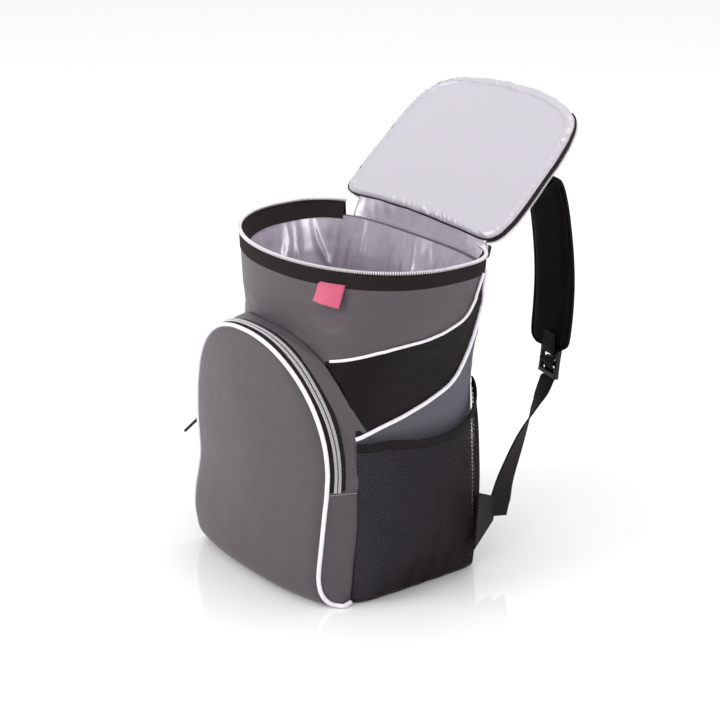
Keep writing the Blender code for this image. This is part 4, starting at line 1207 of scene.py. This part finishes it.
# The lid's half of the rim zip: tape sewn round its free edge and folded down behind it, with the
# coil along the tape's edge.
LID_ZIP_START, LID_ZIP_END = 0.389, 1.111
LID_TAPE_FOLD = 0.0064


def lid_tape_point(u, v):
    share = LID_ZIP_START - 0.5 + (LID_ZIP_END - LID_ZIP_START) * u
    wave = 0.0006 * ripple(lid_spot(share, 0, 0), 0.02, 81.0)
    return lid_spot(share, -0.0006 + 0.0030 * v * v - wave, 0.0032 + LID_TAPE_FOLD * v)


cloth = cut_cloth(300, 8, lid_tape_point, (0.5, LID_TAPE_FOLD), inside=True)
lid_tape = make_piece("lid_zip_tape", cloth, zip_tape)
thicken(lid_tape, 0.0010, 0.0)
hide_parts("lid_tape")
lid_line = spaced([lid_tape_point(k / 400, 1.0) - lid_up * 0.0010 for k in range(401)], ZIP_PITCH)
lid_teeth = plant("lid_zip_coil", small_block((0.0014, 0.0032, 0.0026), 0.0005),
                  [place_at(point, facing(lid_line, k), lid_up)
                   for k, point in enumerate(lid_line)], zip_zinc)
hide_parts("lid_teeth")

# The tag: a folded strip of pink woven satin ribbon, caught in the rim seam by its cut ends and
# hanging free in front. It carries nothing but its own selvedges.
TAG_TURN, TAG_WIDTH, TAG_DROP = -50.0, 0.0255, 0.0200
RIM_RADIUS = 0.122
# Satin ribbon: pink polyester, with a soft sheen along its weft.
ribbon, shader = start_finish("pink_satin_ribbon", "#C94A72", 0.42, Sheen_Weight=0.3)
ribbon_place = cloth_place(ribbon)
ribbon_yarn = lines(ribbon, ribbon_place, 0.0008, "Y", Distortion=0.4)
ribbon_tone = speckle(ribbon, ribbon_place, 160.0)
tint(ribbon, shader, reckon(ribbon, "MULTIPLY", ribbon_yarn, ribbon_tone), "#BC3860", "#D06684")
emboss(ribbon, shader, (ribbon_yarn, 0.3, 0.0003))


def tag_point(u, v):
    """Down the front of the tag, round its fold and up behind it."""
    part = 1 - abs(2 * v - 1)
    down = TAG_DROP * part
    turn = TAG_TURN + math.degrees(((u - 0.5) * TAG_WIDTH - down * 0.16) / RIM_RADIUS)
    front = 0.0016 * (1 - 2 * v) * (1 - part ** 4)
    lift = 0.0020 + 0.0045 * part ** 1.5 + front
    curl = 0.0012 * math.sin(math.pi * u) * part
    height = BAG_HEIGHT + 0.0010 - down * (0.80 + 0.16 * u)
    return bag_wall(turn, height, lift + curl)


cloth = cut_cloth(28, 40, tag_point, (TAG_WIDTH, TAG_DROP * 2))
tag = make_piece("pink_ribbon_tag", cloth, ribbon)
thicken(tag, 0.0005, 0.0)
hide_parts("label")

# The shoulder straps: foam pads in black nylon, sewn to the back wall under the hinge, rising over
# the wearer's shoulder and hanging to a rounded lower end, with a bound edge all round.
PAD_WIDTH, PAD_THICKNESS, PAD_THIN = 0.054, 0.0090, 0.0034
PAD_SLIM, PAD_OVERHANG, PAD_EDGE_INSET = 0.9, 0.0002, 0.0012
STRAP_SPACING_TOP, STRAP_SPACING_LOW = 0.048, 0.077
STRAP_REACH = 0.102
STRAP_WALL_Y = 0.09348
STRAP_START_Y = STRAP_WALL_Y + 0.0020
# Columns: place between the top and low spacing, reach behind the wall as a share of STRAP_REACH,
# height as a share of the bag's, and the pad's width as a share of PAD_WIDTH.
PAD_ROUTE = ((0.00, 0.035, 0.900, 0.78), (0.02, 0.045, 0.948, 0.80), (0.07, 0.125, 1.010, 0.84),
             (0.17, 0.290, 1.068, 0.88), (0.34, 0.495, 1.122, 0.93), (0.52, 0.690, 1.165, 0.98),
             (0.62, 0.850, 1.195, 1.00), (0.69, 0.935, 1.125, 1.00), (0.79, 0.990, 0.990, 1.00),
             (0.90, 1.000, 0.869, 1.00), (0.97, 0.980, 0.768, 1.00), (1.00, 0.951, 0.680, 0.98),
             (1.00, 0.940, 0.650, 0.90), (1.00, 0.934, 0.634, 0.62))
pad_nylon = padded_nylon("padded_nylon_black", "#140E10", "#0B0709", "#40363D", 0.03, 0.12, 0.66,
                         0.0016)
pad_rows = smooth_line(PAD_ROUTE, 121)


def strap_frame(rows, index, turn=0.0):
    """A strap's point, the way along it, its width and its face, at one station."""
    point = Vector(rows[index][:3])
    after, before = rows[min(index + 1, len(rows) - 1)], rows[max(index - 1, 0)]
    along = (Vector(after[:3]) - Vector(before[:3])).normalized()
    wide = (Vector((1, 0, 0)) - along * along.x).normalized()
    face = along.cross(wide)
    cosine, sine = math.cos(turn), math.sin(turn)
    return point, along, wide * cosine + face * sine, face * cosine - wide * sine


pad_line = [(STRAP_SPACING_TOP + (STRAP_SPACING_LOW - STRAP_SPACING_TOP) * across,
             STRAP_START_Y + STRAP_REACH * (reach - PAD_ROUTE[0][1]), BAG_HEIGHT * height, share)
            for across, reach, height, share in pad_rows]


def pad_half_width(index):
    return PAD_WIDTH * pad_line[index][3] / 2


def pad_spot(u, v):
    """Round the pad's section with u, and down the pad with v."""
    last = len(pad_line) - 1
    index = min(round(v * last), last)
    point, _, wide, face = strap_frame(pad_line, index)
    near = min(1.0, index / 26, 0.35 + (last - index) / 8)
    thick = (PAD_THIN + (PAD_THICKNESS - PAD_THIN) * near) / 2 * PAD_SLIM
    angle = math.tau * u
    across = math.copysign(abs(math.cos(angle)) ** 0.42, math.cos(angle))
    up = math.copysign(abs(math.sin(angle)) ** 0.75, math.sin(angle))
    return point + wide * (pad_half_width(index) + PAD_OVERHANG) * across + face * thick * up


def pad_edge(index, edge):
    """A point of the pad's bound edge, on the side that edge says, 1 or -1."""
    point, _, wide, _ = strap_frame(pad_line, index)
    return point + wide * edge * (pad_half_width(index) - PAD_EDGE_INSET)


pad_outline = ([pad_edge(index, 1) for index in range(0, len(pad_line), 2)]
               + [pad_edge(index, -1) for index in range(len(pad_line) - 1, -1, -2)])
for side, hand in SIDES:
    cloth = cut_cloth(40, 120, lambda u, v: other_side(pad_spot(u, v), side), (0.12, 0.3))
    bmesh.ops.holes_fill(cloth, edges=[edge for edge in cloth.edges if edge.is_boundary])
    bmesh.ops.recalc_face_normals(cloth, faces=cloth.faces)
    pad = make_piece(f"shoulder_padding_{hand}", cloth, pad_nylon)
    swell(pad, 0.0045, 0.0008)
    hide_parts(f"shoulder_pad_{hand}")
    edging = round_cord(f"shoulder_pad_binding_{hand}",
                        spaced([other_side(point, side) for point in pad_outline], 0.003), 0.0036,
                        pad_nylon)

# The ladder locks: moulded black acetal frames with two slots and three bars, which hang from a
# loop of webbing in the pad's end and grip the lower webbing.
# Acetal: black, moulded with a fine spark texture, so it is half matt.
acetal, shader = start_finish("moulded_black_acetal", "#0F0C0D", 0.42, Specular_IOR_Level=0.35)
spark = speckle(acetal, object_place(acetal), 1100.0)
emboss(acetal, shader, (spark, 0.25, 0.0003))
LOCK_WIDTH, LOCK_LENGTH, LOCK_THICKNESS, LOCK_BAR = 0.036, 0.028, 0.0045, 0.0045
LOCK_COLUMNS, LOCK_ROWS = 3, 5
LOCK_SOFT = 0.0010
WEB_WIDTH, WEB_THICKNESS = 0.025, 0.0016
LOCK_SWING = math.radians(15)
end, along, wide, face = strap_frame(pad_line, len(pad_line) - 1, LOCK_SWING)
end.x += 0.004
lock_middle = end + along * (LOCK_LENGTH / 2 + 0.0004)
lock_slot = (LOCK_LENGTH - 3 * LOCK_BAR) / 2
# The webbing loop that holds the lock: out of the pad's end, over the first bar and back. Columns:
# the way from the pad's end, and the way off the lock's plane.
LOOP_ROUTE = ((-0.016, 0.0056), (-0.004, 0.0048), (0.0022, 0.0040), (0.0066, 0.0014),
              (0.0066, -0.0014), (0.0022, -0.0040), (-0.004, -0.0048), (-0.016, -0.0052))
loop_line = spaced(smooth_points([end + along * way + face * off for way, off in LOOP_ROUTE], 60),
                   0.0012)
for side, hand in SIDES:
    lock = bmesh.new()
    bmesh.ops.create_grid(lock, x_segments=LOCK_COLUMNS, y_segments=LOCK_ROWS, size=0.5)
    lock_edge = LOCK_WIDTH / 2
    across = (-lock_edge, -lock_edge + LOCK_BAR, lock_edge - LOCK_BAR, lock_edge)
    down = np.cumsum([-LOCK_LENGTH / 2, LOCK_BAR, lock_slot, LOCK_BAR, lock_slot, LOCK_BAR])
    for vertex in lock.verts:
        column = round((vertex.co.x + 0.5) * LOCK_COLUMNS)
        row = round((vertex.co.y + 0.5) * LOCK_ROWS)
        waist = 1 - 0.05 * math.sin(math.pi * row / LOCK_ROWS) if column in (0, 3) else 1.0
        vertex.co = (across[column] * waist, down[row], 0.0)
    holes = [part for part in lock.faces if abs(part.calc_center_median().x) < 0.005
             and abs(abs(part.calc_center_median().y) - (lock_slot + LOCK_BAR) / 2) < 0.002]
    bmesh.ops.delete(lock, geom=holes, context="FACES")
    bmesh.ops.solidify(lock, geom=lock.faces[:], thickness=LOCK_THICKNESS)
    bmesh.ops.recalc_face_normals(lock, faces=lock.faces)
    bmesh.ops.translate(lock, vec=(0, 0, LOCK_THICKNESS / 2), verts=lock.verts)
    middle = sum((vertex.co for vertex in lock.verts), Vector()) / len(lock.verts)
    bmesh.ops.translate(lock, vec=(0, 0, -middle.z), verts=lock.verts)
    sharp = [edge for edge in lock.edges if edge.calc_face_angle(0) > 0.5]
    bmesh.ops.bevel(lock, geom=sharp, offset=LOCK_SOFT, segments=2, affect="EDGES", profile=0.5,
                    material=-1)
    turned = Matrix((wide, along, face)).transposed().to_4x4()
    turned.translation = lock_middle
    bmesh.ops.transform(lock, matrix=turned, verts=lock.verts)
    for vertex in lock.verts:
        vertex.co.x *= side
    lock.normal_update()
    bmesh.ops.recalc_face_normals(lock, faces=lock.faces)
    buckle = make_piece(f"ladder_lock_frame_{hand}", lock, acetal, smooth=False)
    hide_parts(f"ladder_lock_{hand}")

    def loop_point(u, v):
        point = loop_line[round(v * (len(loop_line) - 1))]
        return other_side(point + wide * WEB_WIDTH * (u - 0.5), side)

    cloth = cut_cloth(6, len(loop_line) - 1, loop_point, (WEB_WIDTH, 0.05), inside=side < 0)
    keeper = make_piece(f"lock_loop_{hand}", cloth, webbing)
    thicken(keeper, 0.0012, 0.0)

# The lower webbing: 25 mm ribbed polyester that leaves the lock's lower slot, twists a quarter turn
# on the way down and is sewn over the tab at the bag's back corner.
# Columns: place between the low spacing and the tab, reach and height as above, and its turn.
WEB_ROUTE = ((0.00, 0.880, 0.520, 15), (0.10, 0.790, 0.480, 20), (0.25, 0.675, 0.440, 38),
             (0.50, 0.440, 0.360, 66), (0.86, 0.185, 0.270, 82), (1.03, 0.078, 0.215, 90),
             (1.02, 0.048, 0.180, 90), (1.01, 0.030, 0.150, 90))
TAB_TURN, TAB_HEIGHT, TAB_ROOT, TAB_TIP = 17.0, 0.058, 0.058, 0.024
TAB_REACH, TAB_THICKNESS = 0.042, 0.0016
tab_x = bag_wall(26, TAB_HEIGHT + 0.018, 0.0008).x
tab_face = tab_x + TAB_THICKNESS + 0.0004 + WEB_THICKNESS / 2
WEB_STEPS = 180
# Through the lock's bars and slots: the way from its middle, and the way off its plane.
THREADED = ((-0.0046, -0.0035), (-0.0018, 0.0036), (0.0022, 0.0030), (0.0062, -0.0008),
            (0.0108, -0.0034), (0.0150, -0.0020))
web_rows = smooth_line(WEB_ROUTE, 26)
web_line = [Vector((STRAP_SPACING_LOW + (tab_face - STRAP_SPACING_LOW) * across,
                    STRAP_START_Y + STRAP_REACH * reach, BAG_HEIGHT * height))
            for across, reach, height, _ in web_rows]
shift = end + along * (LOCK_LENGTH + 0.0032) - web_line[0]
web_line = [point + shift * max(0.0, 1 - index / 6) for index, point in enumerate(web_line)]
web_line = [lock_middle + along * way + face * off for way, off in THREADED] + web_line
web_turns = [LOCK_SWING] * len(THREADED) + [math.radians(row[3]) for row in web_rows]
dense = smooth_line([(*point, turn) for point, turn in zip(web_line, web_turns)], WEB_STEPS + 1)


def web_point(u, v):
    index = round(v * WEB_STEPS)
    point, _, wide, face = strap_frame(dense, index, dense[index][3])
    cup = 0.0010 * (1 - (2 * u - 1) ** 2) * math.sin(math.pi * v)
    return point + wide * WEB_WIDTH * (u - 0.5) + face * cup


def tab_point(u, v):
    root = bag_wall(TAB_TURN, TAB_HEIGHT + TAB_ROOT * (v - 0.5), 0.0185)
    tip = Vector((tab_x, root.y + TAB_REACH, TAB_HEIGHT - 0.006 + TAB_TIP * (v - 0.5)))
    return root.lerp(tip, u) + Vector((TAB_THICKNESS / 2, 0, 0))


# Black sewing thread, waxed, so the stitches catch a little light on the dull webbing.
black_thread = sewing_thread("waxed_black_thread", "#453B40", 0.45)
STITCHES = 21
for side, hand in SIDES:
    cloth = cut_cloth(10, WEB_STEPS, lambda u, v: other_side(web_point(u, v), side),
                      (WEB_WIDTH, 0.19), inside=side < 0)
    strap = make_piece(f"lower_webbing_{hand}", cloth, webbing)
    thicken(strap, WEB_THICKNESS, 0.0)
    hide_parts(f"strap_web_{hand}")
    cloth = cut_cloth(16, 14, lambda u, v: other_side(tab_point(u, v), side),
                      (TAB_REACH, TAB_ROOT), inside=side < 0)
    tab = make_piece(f"corner_tab_{hand}", cloth, webbing)
    thicken(tab, TAB_THICKNESS, 0.0)
    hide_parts(f"strap_tab_{hand}")
    # Two rows of lock stitch across the webbing's end hold it on the tab.
    for number, place in enumerate((0.93, 0.985)):
        index = round(place * WEB_STEPS)
        point, _, across, face = strap_frame(dense, index, dense[index][3])
        middle = point + face * WEB_THICKNESS * 0.62
        row = [other_side(middle + across * WEB_WIDTH * 0.86 * (k / (STITCHES - 1) - 0.5), side)
               for k in range(STITCHES)]
        stitch_row(f"webbing_end_stitches_{hand}_{number + 1}", row,
                   [other_side(face, side)] * STITCHES, 0.0032, 0.0007, black_thread)
